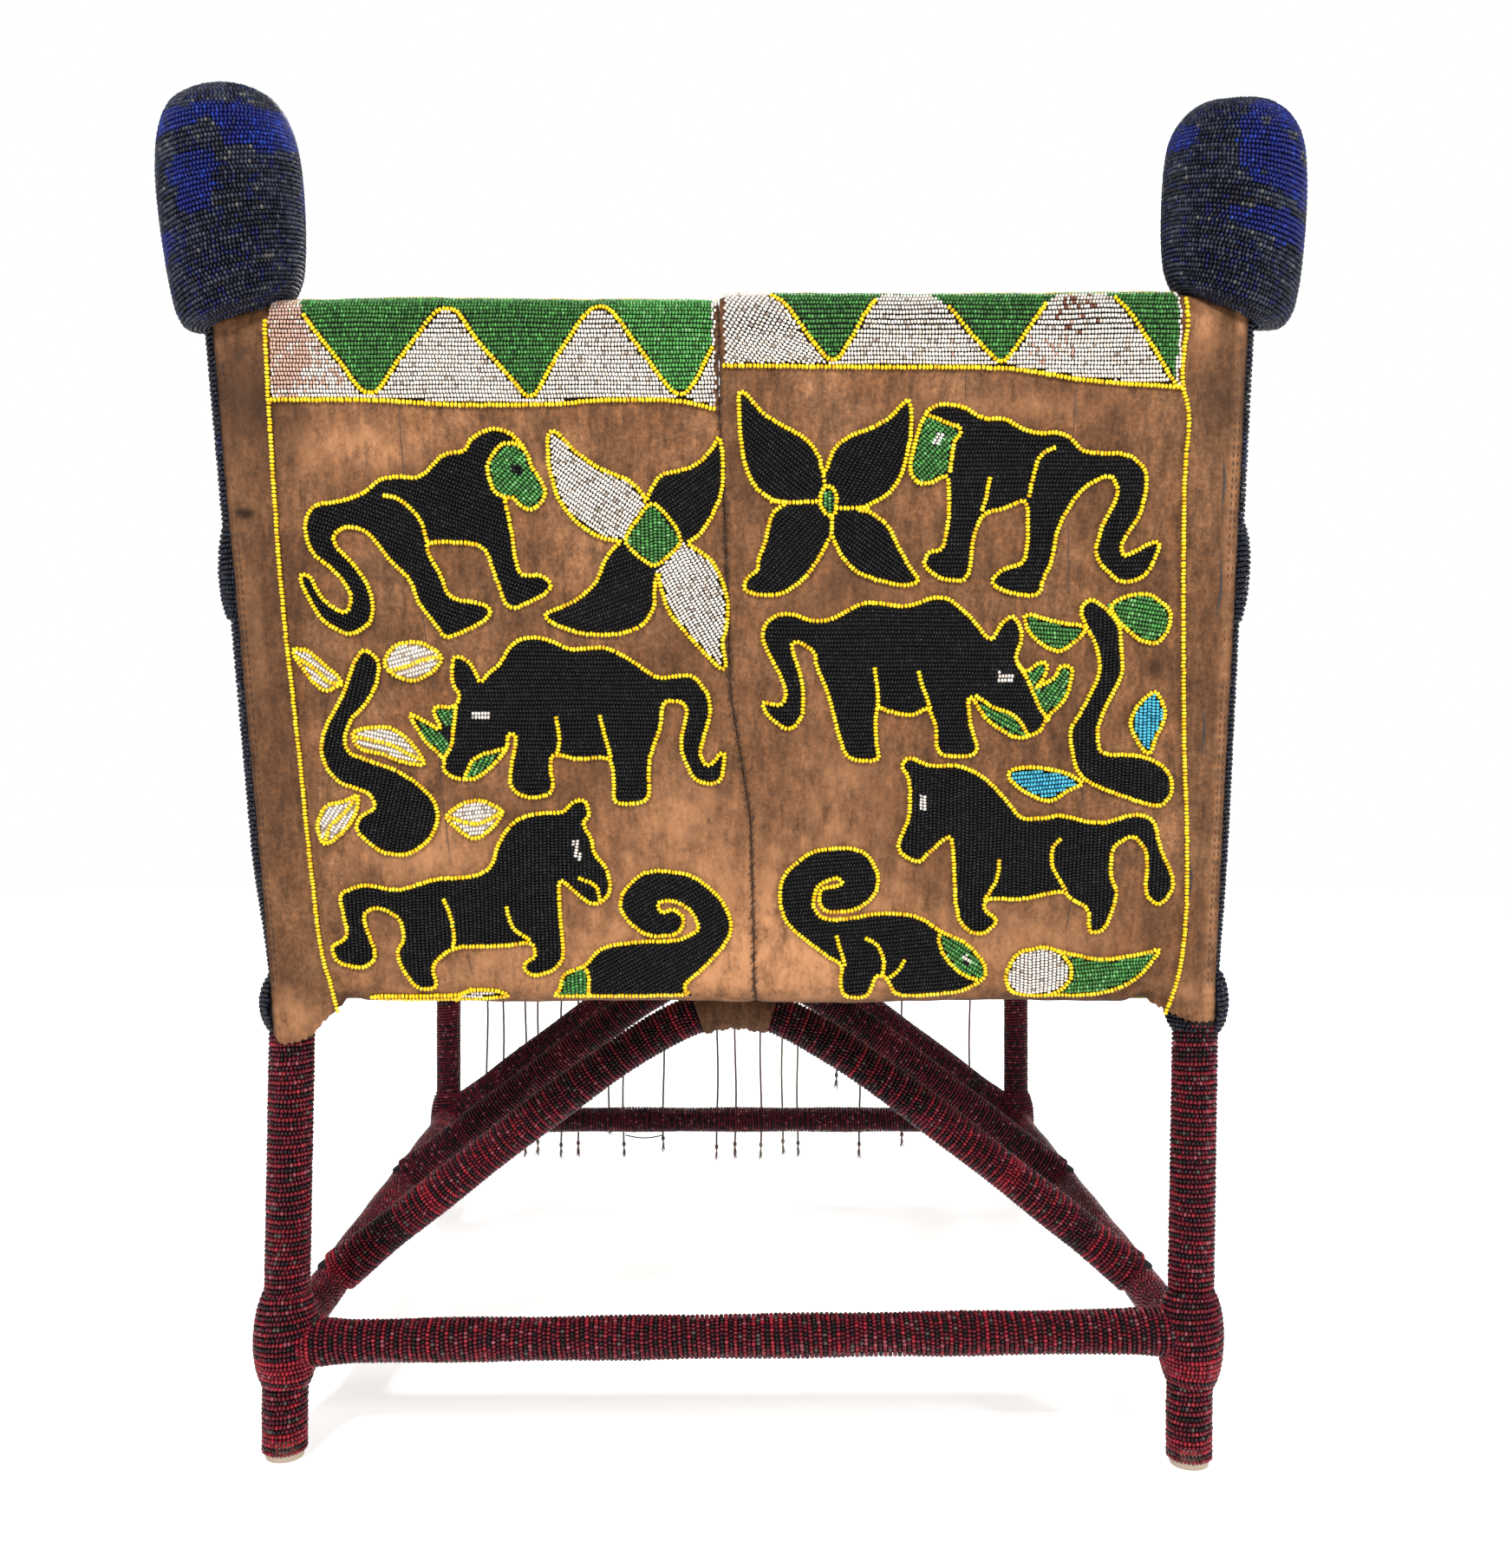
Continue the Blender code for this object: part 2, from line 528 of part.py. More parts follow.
def finials():
    """Padded heads on the post tops, each closed above the post that fills its bore."""
    bore = POST_R + GAP
    for name, side, up, height, slope in FINIALS:
        outside = [(radius, share * height) for radius, share in FINIAL_PROFILE]
        bore_top = POST_TOP - up + BORE_CLEARANCE
        profile = [(0, bore_top), (bore, bore_top), (bore, 0), *outside]
        foot = back_point(post_x(side, up), up, 0)
        axis = (back_point(post_x(side, POST_TOP), POST_TOP, 0) - foot).normalized()
        turn = Vector((0, 0, 1)).rotation_difference(axis).to_matrix().to_4x4()
        lathe(name, profile, BLUE_BEADS, 0.3, Matrix.Translation(foot) @ turn, -side * slope)


def sheet(name, grid, thickness, colour, roughness):
    """A cloth from a grid of points, each row a list of columns with None where there is no cloth."""
    shape = bmesh.new()
    made = [[shape.verts.new(point) if point else None for point in row] for row in grid]
    for low, high in zip(made, made[1:]):
        for i in range(len(low) - 1):
            corners = (low[i], low[i + 1], high[i + 1], high[i])
            if all(corners):
                shape.faces.new(corners)
    mesh = bpy.data.meshes.new(name)
    shape.to_mesh(mesh)
    shape.free()
    obj = settle(bpy.data.objects.new(name, mesh), CHAIR, name, colour, roughness)
    thick = obj.modifiers.new("thickness", "SOLIDIFY")
    thick.thickness = thickness
    thick.offset = 1
    thick.use_even_offset = True
    return obj


def fold_row(degrees, radius, up):
    """Height and depth of the cloth where it turns over a rail, by its angle above the rail's rear."""
    angle = math.radians(degrees)
    return up + radius * math.sin(angle), radius * math.cos(angle)


def back_covers():
    """Two cloths sewn together up the middle, wrapped round the posts and over the rails."""
    rows = [fold_row(d, COVER_IN, FOLD_UP) for d in (-150, -110, -70, -35)]
    first_straight = len(rows)
    rows += [(up, COVER_IN) for up in (FOLD_UP, 0.11, 0.28, TOP_RAIL_UP)]
    last_straight = len(rows) - 1
    rows += [fold_row(d, COVER_IN, TOP_RAIL_UP) for d in (35, 70, 110, 150)]
    for side, name, flap in zip((-1, 1), ("left_back_cover", "right_back_cover"), CORNER_FLAPS):
        grid = []
        for number, (up, out) in enumerate(rows):
            straight = first_straight <= number <= last_straight
            hangs = number == first_straight - 1
            cells = []
            for angle in (HEM_ANGLE, HEM_ANGLE / 2, 0):
                beside = side * COVER_IN * math.sin(angle)
                behind = COVER_IN * math.cos(angle)
                point = None
                if straight:
                    point = back_point(post_x(side, up) + beside, up, behind)
                if hangs:
                    leg = Vector(leg_point(side, SEAT_Z - flap))
                    point = leg + Vector((beside, -behind, 0))
                cells.append(point)
            # Only beside the rails' straight run does the part on the post join the part that folds.
            cells.append(back_point(side * JOIN_X, up, out) if straight else None)
            cells.append(back_point(side * FOLD_X, up, out))
            cells.append(back_point(between(SEAM, up) + side * GAP / 2, up, out))
            grid.append(cells if side < 0 else cells[::-1])
        sheet(name, grid, COVER_T, CLOTH, 0.85)


def beaded_borders():
    for name, edge in (("left_border", LEFT_BORDER), ("right_border", RIGHT_BORDER)):
        rows = []
        for level in (0, 0.5, 1):
            row = []
            for x, low in edge:
                up = low * MM + (TOP_RAIL_UP - low * MM) * level
                row.append(back_point(x * MM, up, BEADWORK_IN))
            rows.append(row)
        for degrees in (35, 70):
            up, out = fold_row(degrees, BEADWORK_IN, TOP_RAIL_UP)
            rows.append([back_point(x * MM, up, out) for x, _ in edge])
        sheet(name, rows, BEADWORK_T, WHITE_BEADS, 0.4)


def beaded_figures():
    frame = Matrix(
        (
            (1, 0, 0, 0),
            (0, -math.sin(RECLINE), -math.cos(RECLINE), REAR_Y),
            (0, math.cos(RECLINE), -math.sin(RECLINE), SEAT_Z),
            (0, 0, 0, 1),
        )
    )
    lift = Matrix.Translation((0, 0, BEADWORK_IN + BEADWORK_T / 2))
    for name, outline in FIGURES.items():
        curve = bpy.data.curves.new(name, "CURVE")
        curve.dimensions = "2D"
        curve.fill_mode = "BOTH"
        curve.extrude = BEADWORK_T / 2
        spline = curve.splines.new("POLY")
        spline.points.add(len(outline) - 1)
        spline.use_cyclic_u = True
        for knot, (x, up) in zip(spline.points, outline):
            knot.co = (x * MM, up * MM, 0, 1)
        obj = settle(mesh_from_curve(curve), CHAIR, name, BLACK_BEADS, 0.4)
        obj.data.transform(frame @ lift)


def slab(name, corners, low, high, edge, colour, roughness):
    """A flat slab over the corners, with its upper edges rounded."""
    shape = bmesh.new()
    base = shape.faces.new([shape.verts.new((x, y, low)) for x, y in corners])
    raised = bmesh.ops.extrude_face_region(shape, geom=[base])
    moved = [v for v in raised["geom"] if isinstance(v, bmesh.types.BMVert)]
    bmesh.ops.translate(shape, verts=moved, vec=(0, 0, high - low))
    bmesh.ops.recalc_face_normals(shape, faces=shape.faces)
    rim = [e for e in shape.edges if all(v.co.z > (low + high) / 2 for v in e.verts)]
    if edge:
        bmesh.ops.bevel(shape, geom=rim, offset=edge, segments=3, affect="EDGES", profile=0.5)
    mesh = bpy.data.meshes.new(name)
    shape.to_mesh(mesh)
    shape.free()
    return settle(bpy.data.objects.new(name, mesh), CHAIR, name, colour, roughness)


def seat():
    rear_y = REAR_Y + POST_R + BACK_PAD_ABOVE_SEAT
    front_y = FRONT_Y - RAIL_R - CLEAR
    corners = [
        (-REAR_X + SEAT_INSET, rear_y),
        (REAR_X - SEAT_INSET, rear_y),
        (FRONT_RIGHT_X - SEAT_INSET, front_y),
        (FRONT_LEFT_X + SEAT_INSET, front_y),
    ]
    slab("seat_deck", corners, DECK_Z, DECK_Z + DECK_T, 0, CANE, 0.7)
    slab("seat_pad", corners, DECK_Z + DECK_T + GAP, PAD_TOP_Z, PAD_EDGE, CLOTH, 0.85)


def backrest_pad():
    """The padded front of the back, between the posts."""
    half_x = REAR_X - POST_R - LASHING_SWELL - CLEAR
    low = (PAD_TOP_Z - SEAT_Z) / math.cos(RECLINE) + BACK_PAD_ABOVE_SEAT
    high = TOP_RAIL_UP - COVER_OUT - CLEAR
    corners = [(-half_x, low), (half_x, low), (half_x, high), (-half_x, high)]
    pad = slab("backrest_pad", corners, -COVER_IN + GAP, BACK_PAD_FRONT, BACK_PAD_EDGE, CLOTH, 0.85)
    front = Matrix(
        (
            (1, 0, 0, 0),
            (0, -math.sin(RECLINE), math.cos(RECLINE), REAR_Y),
            (0, math.cos(RECLINE), math.sin(RECLINE), SEAT_Z),
            (0, 0, 0, 1),
        )
    )
    pad.data.transform(front)
    pad.data.flip_normals()


def lashing(name, centre, axis, radius, cut_by, trims=(), half=LASHING_HALF):
    """A swollen band of bead strings round a pole where others meet it."""
    centre = Vector(centre)
    axis = Vector(axis).normalized()
    points = [centre + axis * half * share for share in (-1, -0.5, 0, 0.5, 1)]
    radii = [radius + LASHING_SWELL * swell for swell in (0.15, 0.8, 1, 0.8, 0.15)]
    band = pole(name, points, radii, RED_BEADS if centre.z < 0.2 else NAVY_BEADS, 0.35)
    cut(band, [*[grown(other) for other in cut_by], *trims])


def behind_cutter(name, up):
    """A block over the rear of a post, where the cloth lies instead of the lashing."""
    shape = bmesh.new()
    bmesh.ops.create_cube(shape, size=1)
    bmesh.ops.scale(shape, vec=CLOTH_CUTTER, verts=shape.verts)
    turn = Matrix.Rotation(RECLINE, 4, "X")
    bmesh.ops.transform(shape, matrix=turn, verts=shape.verts)
    side = -1 if "left" in name else 1
    centre = back_point(post_x(side, up), up, LASHING_OUT + CLOTH_CUTTER.y / 2)
    bmesh.ops.translate(shape, vec=centre, verts=shape.verts)
    mesh = bpy.data.meshes.new(name)
    shape.to_mesh(mesh)
    shape.free()
    return settle(bpy.data.objects.new(name, mesh), CUTTERS, name, CLOTH, 1)


def lashings():
    for side, word, post in ((-1, "left", "rear_left_post"), (1, "right", "rear_right_post")):
        stretcher = word + "_stretcher"
        rear_z = STRETCHER_Z + (0.003 if side < 0 else 0.007)
        below = Vector(leg_point(side, rear_z - 0.02))
        above = Vector(leg_point(side, rear_z + 0.02))
        met = (post, "rear_stretcher", stretcher)
        lashing("rear_" + word + "_lashing", leg_point(side, rear_z), above - below, POST_R, met)
        front_x = FRONT_LEFT_X if side < 0 else FRONT_RIGHT_X
        met = ("front_" + word + "_leg", "front_stretcher", stretcher, "front_arch")
        lashing("front_" + word + "_lashing", (front_x, FRONT_Y, STRETCHER_Z), (0, 0, 1), FRONT_LEG_R, met)
        slope = back_point(post_x(side, 1), 1, 0) - back_point(post_x(side, 0), 0, 0)
        for label, up, axis, half, met in (
            ("seat", SEAT_LASHING_UP, (0, 0, 1), SEAT_LASHING_HALF, (post, word + "_seat_rail", "rear_seat_rail")),
            ("arm", ARM_LASHING_UP, slope, LASHING_HALF, (post, word + "_arm")),
        ):
            name = f"{word}_{label}_lashing"
            trim = behind_cutter("cutter_" + name, up)
            lashing(name, back_point(post_x(side, up), up, 0), axis, POST_R, met, [trim], half)


def fringe():
    shape = bmesh.new()
    bmesh.ops.create_cube(shape, size=1)
    spans = (HEADER_X, HEADER_Y, HEADER_Z)
    bmesh.ops.scale(shape, vec=[high - low for low, high in spans], verts=shape.verts)
    bmesh.ops.translate(shape, vec=[(high + low) / 2 for low, high in spans], verts=shape.verts)
    mesh = bpy.data.meshes.new("fringe_header")
    shape.to_mesh(mesh)
    shape.free()
    settle(bpy.data.objects.new("fringe_header", mesh), CHAIR, "fringe_header", CLOTH, 0.85)
    for number, ((x1, low1), (x2, low2)) in enumerate(FRINGE, 1):
        points = [
            (x1, THREAD_Y, low1),
            (x1, THREAD_Y, low1 + TIP_LENGTH / 2),
            (x1, THREAD_Y, low1 + TIP_LENGTH),
            (x1, THREAD_Y, THREAD_TOP_Z),
            (x2, THREAD_Y, THREAD_TOP_Z),
            (x2, THREAD_Y, low2 + TIP_LENGTH),
            (x2, THREAD_Y, low2 + TIP_LENGTH / 2),
            (x2, THREAD_Y, low2),
        ]
        radii = [THREAD_R, TIP_R, THREAD_R, THREAD_R, THREAD_R, THREAD_R, TIP_R, THREAD_R]
        hinge = Vector(((x1 + x2) / 2, THREAD_Y, THREAD_TOP_Z))
        thread = pole(f"fringe_thread_{number}", points, radii, THREAD, 0.8, rounding=1)
        thread.data.transform(Matrix.Translation(-hinge))
        thread.location = hinge


posts_and_legs()
stretchers()
arches()
seat_rails()
arms()
finials()
back_covers()
beaded_borders()
beaded_figures()
seat()
backrest_pad()
lashings()
fringe()
for part in bpy.data.objects:
    part.location -= BOX_MIDDLE
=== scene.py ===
"""Looks of the beaded chair: strings of glass beads, sewn beadwork on worn cloth, padding and fringe threads.

Lengths are in metres, in the frame's own axes. Places on the back are in millimetres, across and up the back.
"""

import math

import bmesh
import bpy
import numpy as np
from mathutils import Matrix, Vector, noise
from mathutils.geometry import delaunay_2d_cdt


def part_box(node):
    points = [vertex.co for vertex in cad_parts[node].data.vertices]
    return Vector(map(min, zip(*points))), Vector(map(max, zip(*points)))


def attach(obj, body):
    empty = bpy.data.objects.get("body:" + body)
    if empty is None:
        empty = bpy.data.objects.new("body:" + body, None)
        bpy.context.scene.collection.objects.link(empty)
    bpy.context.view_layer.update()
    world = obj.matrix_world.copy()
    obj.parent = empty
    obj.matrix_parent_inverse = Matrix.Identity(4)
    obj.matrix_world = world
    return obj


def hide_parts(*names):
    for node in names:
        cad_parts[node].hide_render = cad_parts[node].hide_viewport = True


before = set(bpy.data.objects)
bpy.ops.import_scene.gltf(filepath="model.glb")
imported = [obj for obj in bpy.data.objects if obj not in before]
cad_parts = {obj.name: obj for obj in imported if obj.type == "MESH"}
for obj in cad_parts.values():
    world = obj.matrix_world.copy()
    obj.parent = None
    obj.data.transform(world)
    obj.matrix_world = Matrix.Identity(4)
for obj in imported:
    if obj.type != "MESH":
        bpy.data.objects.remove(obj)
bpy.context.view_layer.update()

CHAIR = "chair"
MM = 0.001
RANDOM = np.random.default_rng(7)

# The frame's own sizes. Its poles are drawn about a point midway between the legs, at ORIGIN.
REAR_Y, FRONT_Y = -0.310, 0.310
REAR_X = 0.280
FRONT_LEFT_X, FRONT_RIGHT_X = -0.3085, 0.2765
LEG_BOX = np.array(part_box("front_left_leg"))
ORIGIN = np.array((*LEG_BOX.mean(axis=0)[:2], 0)) - (FRONT_LEFT_X, FRONT_Y, 0)
SEAT_Z = 0.295
RAIL_Z = 0.300
STRETCHER_Z = 0.071
ARM_Z = 0.545
RECLINE = math.radians(9)
POST_R, LEG_R, RAIL_R = 0.0141, 0.0125, 0.0130
STRETCHER_R, REAR_STRETCHER_R, ARCH_R = 0.0128, 0.0134, 0.0135
POST_TOP = 0.500
LEFT_TOP_X, RIGHT_TOP_X = -0.298, 0.280
FEET = {-1: (-0.285, -0.310), 1: (0.273, -0.320)}
FOOT_STRAIGHT = 0.030
ARCH_YS = {"rear_arch": -0.196, "middle_arch": 0.064, "front_arch": FRONT_Y}
ARCH_APEX_Z = 0.262
ARCH_SLOPE, ARCH_BEND = 0.79, 0.055
TOP_RAIL_UP = 0.3853
FOLD_UP = (RAIL_Z - SEAT_Z) / math.cos(RECLINE)

# The cloth's two faces, from the plane of the posts' axes, and how far round each post its hem is, by side.
CLOTH_OUT = 0.0174
CLOTH_IN = 0.0161
CLOTH_THICK = 0.0013
CLOTH_GAP = 0.0006  # to what it covers
HEM_ANGLE = {-1: math.radians(31), 1: math.radians(24)}

# Strings built up beside the cloth set a rear post out to its side and forwards, fully from some way up.
BUILT_OUT = {-1: 0.0054, 1: 0.0028}
BUILT_FORE = 0.0040
BUILT_UP = 0.09

# Wound strings: the spacing of their rows, the step from bead to bead, and the bead's size.
ROW_PITCH = 0.00285
BEAD_STEP = 0.00235
BEAD_R = 0.00142
CORE_DEPTH = 1.75 * BEAD_R  # of the dark core under the strings' outer surface
PATH_STEP = 0.006  # from point to point of a pole's path
CUT_BACK = 0.010  # how far short of a joint's middle the strings stop
COTTON_Z = 0.007  # below this height the core is bare cotton
POST_CHANGE, LEG_CHANGE = 0.268, 0.290  # how far along a rear post or front leg red beads give way to blue

# Sewn beads, and the single strings: pitch and step in millimetres, and how far they lie off the cloth.
SEWN_PITCH = 2.4
SEWN_STEP = 1.85
SEWN_LIFT = 0.0011
CORD_STEP = 2.15
CORD_R = 0.00150
CORD_LIFT = 0.0015
CORD_HANGS_X = 240  # further out than this they hang straight down below the seat rail

BEAD_COLOURS = {
    "red": (0.132, 0.006, 0.012),
    "red_bright": (0.250, 0.010, 0.020),
    "red_deep": (0.080, 0.004, 0.011),
    "rose": (0.210, 0.045, 0.060),
    "dark": (0.010, 0.005, 0.006),
    "plum": (0.034, 0.004, 0.009),
    "smoke": (0.060, 0.044, 0.038),
    "black": (0.004, 0.004, 0.005),
    "black_worn": (0.012, 0.012, 0.014),
    "navy": (0.005, 0.006, 0.014),
    "navy_light": (0.015, 0.018, 0.030),
    "slate": (0.026, 0.031, 0.050),
    "cobalt": (0.004, 0.009, 0.095),
    "cobalt_bright": (0.007, 0.022, 0.200),
    "cobalt_deep": (0.004, 0.007, 0.050),
    "ash": (0.080, 0.076, 0.074),
    "white": (0.660, 0.620, 0.570),
    "white_warm": (0.600, 0.520, 0.450),
    "white_dirty": (0.330, 0.270, 0.220),
    "stained": (0.500, 0.320, 0.250),
    "rust": (0.180, 0.060, 0.035),
    "green": (0.046, 0.160, 0.038),
    "green_bright": (0.070, 0.270, 0.062),
    "green_deep": (0.024, 0.090, 0.022),
    "green_pale": (0.150, 0.370, 0.130),
    "yellow": (0.800, 0.510, 0.008),
    "yellow_deep": (0.600, 0.340, 0.006),
    "yellow_bright": (0.880, 0.640, 0.024),
    "turquoise": (0.060, 0.380, 0.520),
    "turquoise_deep": (0.030, 0.240, 0.360),
    "core": (0.008, 0.006, 0.006),
    "cotton": (0.420, 0.340, 0.260),
}
BEAD_NAMES = list(BEAD_COLOURS)
MATT_BEADS = ("core", "cotton")
DARK_BEAD = 0.035  # beads darker than this shine less

# Mixed colours: how often each bead colour comes up.
MIXES = {
    "red": (("red", 7), ("red_deep", 4), ("red_bright", 1), ("rose", 1)),
    "bright": (("red_bright", 6), ("red", 4)),
    "dark": (("dark", 5), ("plum", 5), ("red_deep", 3), ("smoke", 1)),
    # The maroon mix is red beads darkened as painted shade, for the parts under the seat.
    "maroon": (("red_deep", 8), ("plum", 2), ("rose", 1)),
    "black": (("black", 12), ("black_worn", 2)),
    "navy": (("navy", 7), ("navy_light", 2), ("black_worn", 4)),
    "cobalt": (("cobalt", 9), ("cobalt_bright", 1), ("cobalt_deep", 2)),
    "azure": (("cobalt_bright", 5), ("cobalt", 5)),
    "dusk": (("navy", 5), ("navy_light", 4), ("slate", 2), ("cobalt_deep", 3)),
    "grey": (("slate", 7), ("ash", 1), ("navy_light", 5)),
    "white": (("white", 16), ("white_warm", 5), ("white_dirty", 1)),
    "stained": (("stained", 9), ("white_warm", 1)),
    "rust": (("rust", 3), ("stained", 1)),
    "green": (("green", 10), ("green_bright", 2), ("green_deep", 3)),
    "lime": (("green_bright", 8), ("green", 3), ("green_pale", 1)),
    "leaf": (("green", 8), ("green_bright", 3), ("green_pale", 1)),
    "yellow": (("yellow", 8), ("yellow_deep", 1), ("yellow_bright", 4)),
    "turquoise": (("turquoise", 8), ("turquoise_deep", 2)),
}


def picks(mix, count):
    """Bead colours drawn from a mix, as places in BEAD_NAMES."""
    names, weights = zip(*MIXES[mix])
    share = np.array(weights, float) / sum(weights)
    places = np.array([BEAD_NAMES.index(name) for name in names])
    return places[RANDOM.choice(len(names), count, p=share)]


# ---------------------------------------------------------------- materials


def new_material(name):
    made = bpy.data.materials.new(name)
    made.use_nodes = True
    return made, made.node_tree, made.node_tree.nodes["Principled BSDF"]


def bead_material(name):
    colour = BEAD_COLOURS[name]
    made, _, shader = new_material("bead_" + name)
    shader.inputs["Base Color"].default_value = (*colour, 1)
    matt = name in MATT_BEADS
    dark = max(colour) < DARK_BEAD
    shader.inputs["Roughness"].default_value = 0.9 if matt else 0.13
    shader.inputs["Specular IOR Level"].default_value = 0.2 if matt or dark else 0.26
    return made


BEAD_MATERIALS = [bead_material(name) for name in BEAD_NAMES]


def node(tree, kind, **settings):
    made = tree.nodes.new(kind)
    for key, value in settings.items():
        if key in made.inputs:
            made.inputs[key].default_value = value
        else:
            setattr(made, key, value)
    return made


def ramp(tree, source, *stops):
    made = tree.nodes.new("ShaderNodeValToRGB")
    tree.links.new(source, made.inputs["Fac"])
    elements = made.color_ramp.elements
    while len(elements) < len(stops):
        elements.new(0.5)
    for element, (place, colour) in zip(elements, stops):
        element.position = place
        element.color = (*colour, 1)
    return made.outputs["Color"]


def grey_ramp(tree, source, *stops):
    return ramp(tree, source, *((place, (value,) * 3) for place, value in stops))


def mixed(tree, factor, first, second, blend="MIX"):
    """Colour output of first and second mixed; each is a socket or a colour, factor a socket or a number."""
    made = tree.nodes.new("ShaderNodeMix")
    made.data_type = "RGBA"
    made.blend_type = blend
    for place, value in ((0, factor), (6, first), (7, second)):
        if isinstance(value, bpy.types.NodeSocket):
            tree.links.new(value, made.inputs[place])
        elif place == 0:
            made.inputs[place].default_value = value
        else:
            made.inputs[place].default_value = (*value, 1)
    return made.outputs[2]


def noise_output(tree, scale, detail=4.0, roughness=0.6, stretch=(1, 1, 1)):
    place = node(tree, "ShaderNodeTexCoord")
    mapping = node(tree, "ShaderNodeMapping")
    mapping.inputs["Scale"].default_value = stretch
    tree.links.new(place.outputs["Object"], mapping.inputs["Vector"])
    made = node(tree, "ShaderNodeTexNoise", Scale=scale, Detail=detail, Roughness=roughness)
    tree.links.new(mapping.outputs["Vector"], made.inputs["Vector"])
    return made.outputs["Fac"]


def attribute(tree, name):
    made = node(tree, "ShaderNodeAttribute", attribute_name=name)
    return made.outputs["Fac"]


def bump(tree, shader, height, strength, distance):
    made = node(tree, "ShaderNodeBump", Strength=strength, Distance=distance)
    tree.links.new(height, made.inputs["Height"])
    tree.links.new(made.outputs["Normal"], shader.inputs["Normal"])


def cloth_material(name, base, pale, deep, painted=False):
    """Worn cloth in three browns: blotches, mottling, grit and fibres.

    Where it is painted, wear and soiling are read from the mesh.
    """
    made, tree, shader = new_material(name)
    blotch = noise_output(tree, 11, 7, 0.68)
    mottle = noise_output(tree, 46, 9, 0.78)
    grit = noise_output(tree, 420, 8, 0.8)
    fibre = noise_output(tree, 170, 6, 0.75, (1, 1, 0.22))
    colour = ramp(tree, blotch, (0.33, deep), (0.50, base), (0.68, pale))
    colour = mixed(tree, 0.46, colour, grey_ramp(tree, mottle, (0.38, 0.20), (0.62, 0.78)), "OVERLAY")
    colour = mixed(tree, 0.50, colour, grey_ramp(tree, grit, (0.40, 0.18), (0.60, 0.82)), "OVERLAY")
    colour = mixed(tree, 0.60, colour, grey_ramp(tree, fibre, (0.34, 0.12), (0.66, 0.86)), "OVERLAY")
    if painted:
        scuff = noise_output(tree, 75, 9, 0.82, (1, 1, 0.5))
        share = node(tree, "ShaderNodeMath", operation="MULTIPLY")
        tree.links.new(attribute(tree, "wear"), share.inputs[0])
        tree.links.new(grey_ramp(tree, scuff, (0.36, 0), (0.56, 1)), share.inputs[1])
        colour = mixed(tree, share.outputs[0], colour, tuple(min(1, value * 2.0) for value in pale))
        colour = mixed(tree, attribute(tree, "soil"), colour, tuple(value * 0.22 for value in deep))
    tree.links.new(colour, shader.inputs["Base Color"])
    tree.links.new(grey_ramp(tree, mottle, (0.3, 0.60), (0.7, 0.85)), shader.inputs["Roughness"])
    shader.inputs["Specular IOR Level"].default_value = 0.15
    grain = noise_output(tree, 130, 9, 0.75)
    bump(tree, shader, grain, 0.55, 0.0014)
    return made


def cane_material():
    made, tree, shader = new_material("cane")
    fibre = noise_output(tree, 90, 6, 0.65, (0.08, 1, 1))
    deep, base, pale = (0.10, 0.052, 0.020), (0.26, 0.15, 0.065), (0.42, 0.28, 0.13)
    colour = ramp(tree, fibre, (0.28, deep), (0.5, base), (0.75, pale))
    tree.links.new(colour, shader.inputs["Base Color"])
    tree.links.new(grey_ramp(tree, fibre, (0.3, 0.7), (0.7, 0.45)), shader.inputs["Roughness"])
    bump(tree, shader, fibre, 0.4, 0.0006)
    return made


def thread_material(name, light, deep):
    made, tree, shader = new_material(name)
    fluff = noise_output(tree, 700, 5, 0.7)
    tree.links.new(ramp(tree, fluff, (0.3, deep), (0.7, light)), shader.inputs["Base Color"])
    tree.links.new(grey_ramp(tree, fluff, (0.3, 0.95), (0.7, 0.8)), shader.inputs["Roughness"])
    return made


# Each cloth's base, pale and deep browns.
CLOTH_BROWNS = (0.128, 0.055, 0.023), (0.205, 0.097, 0.045), (0.082, 0.034, 0.014)
LINING_BROWNS = (0.105, 0.047, 0.021), (0.165, 0.082, 0.040), (0.055, 0.024, 0.011)
CLOTH = cloth_material("worn_cloth", *CLOTH_BROWNS, painted=True)
LINING = cloth_material("lining_cloth", *LINING_BROWNS)
CANE = cane_material()
# Dark lines of painted shade along the creases and in the slits of the cloth.
CREASE_AND_SLIT_SHADE = thread_material("crease_and_slit_shade", (0.060, 0.045, 0.040), (0.016, 0.012, 0.012))
SEAM_THREAD = thread_material("seam_thread", (0.070, 0.035, 0.020), (0.020, 0.010, 0.008))
FRINGE_THREADS = [
    thread_material("fringe_grey", (0.120, 0.110, 0.110), (0.030, 0.028, 0.030)),
    thread_material("fringe_red", (0.160, 0.070, 0.060), (0.050, 0.020, 0.020)),
    thread_material("fringe_tan", (0.240, 0.200, 0.140), (0.090, 0.070, 0.050)),
]


# ---------------------------------------------------------------- meshes


def add_mesh(name, points, faces, materials, slots=None, smooth=True):
    """A mesh object from arrays; the points are about the frame's ORIGIN."""
    mesh = bpy.data.meshes.new(name)
    size = faces.shape[1]
    mesh.vertices.add(len(points))
    mesh.vertices.foreach_set("co", (np.asarray(points) + ORIGIN).astype(np.float32).ravel())
    mesh.loops.add(faces.size)
    mesh.loops.foreach_set("vertex_index", faces.astype(np.int32).ravel())
    mesh.polygons.add(len(faces))
    mesh.polygons.foreach_set("loop_start", np.arange(0, faces.size, size, dtype=np.int32))
    if slots is not None:
        mesh.polygons.foreach_set("material_index", slots.astype(np.int32))
    mesh.polygons.foreach_set("use_smooth", np.full(len(faces), smooth))
    mesh.update(calc_edges=True)
    mesh.validate()
    for used in materials:
        mesh.materials.append(used)
    obj = bpy.data.objects.new(name, mesh)
    bpy.context.scene.collection.objects.link(obj)
    return obj


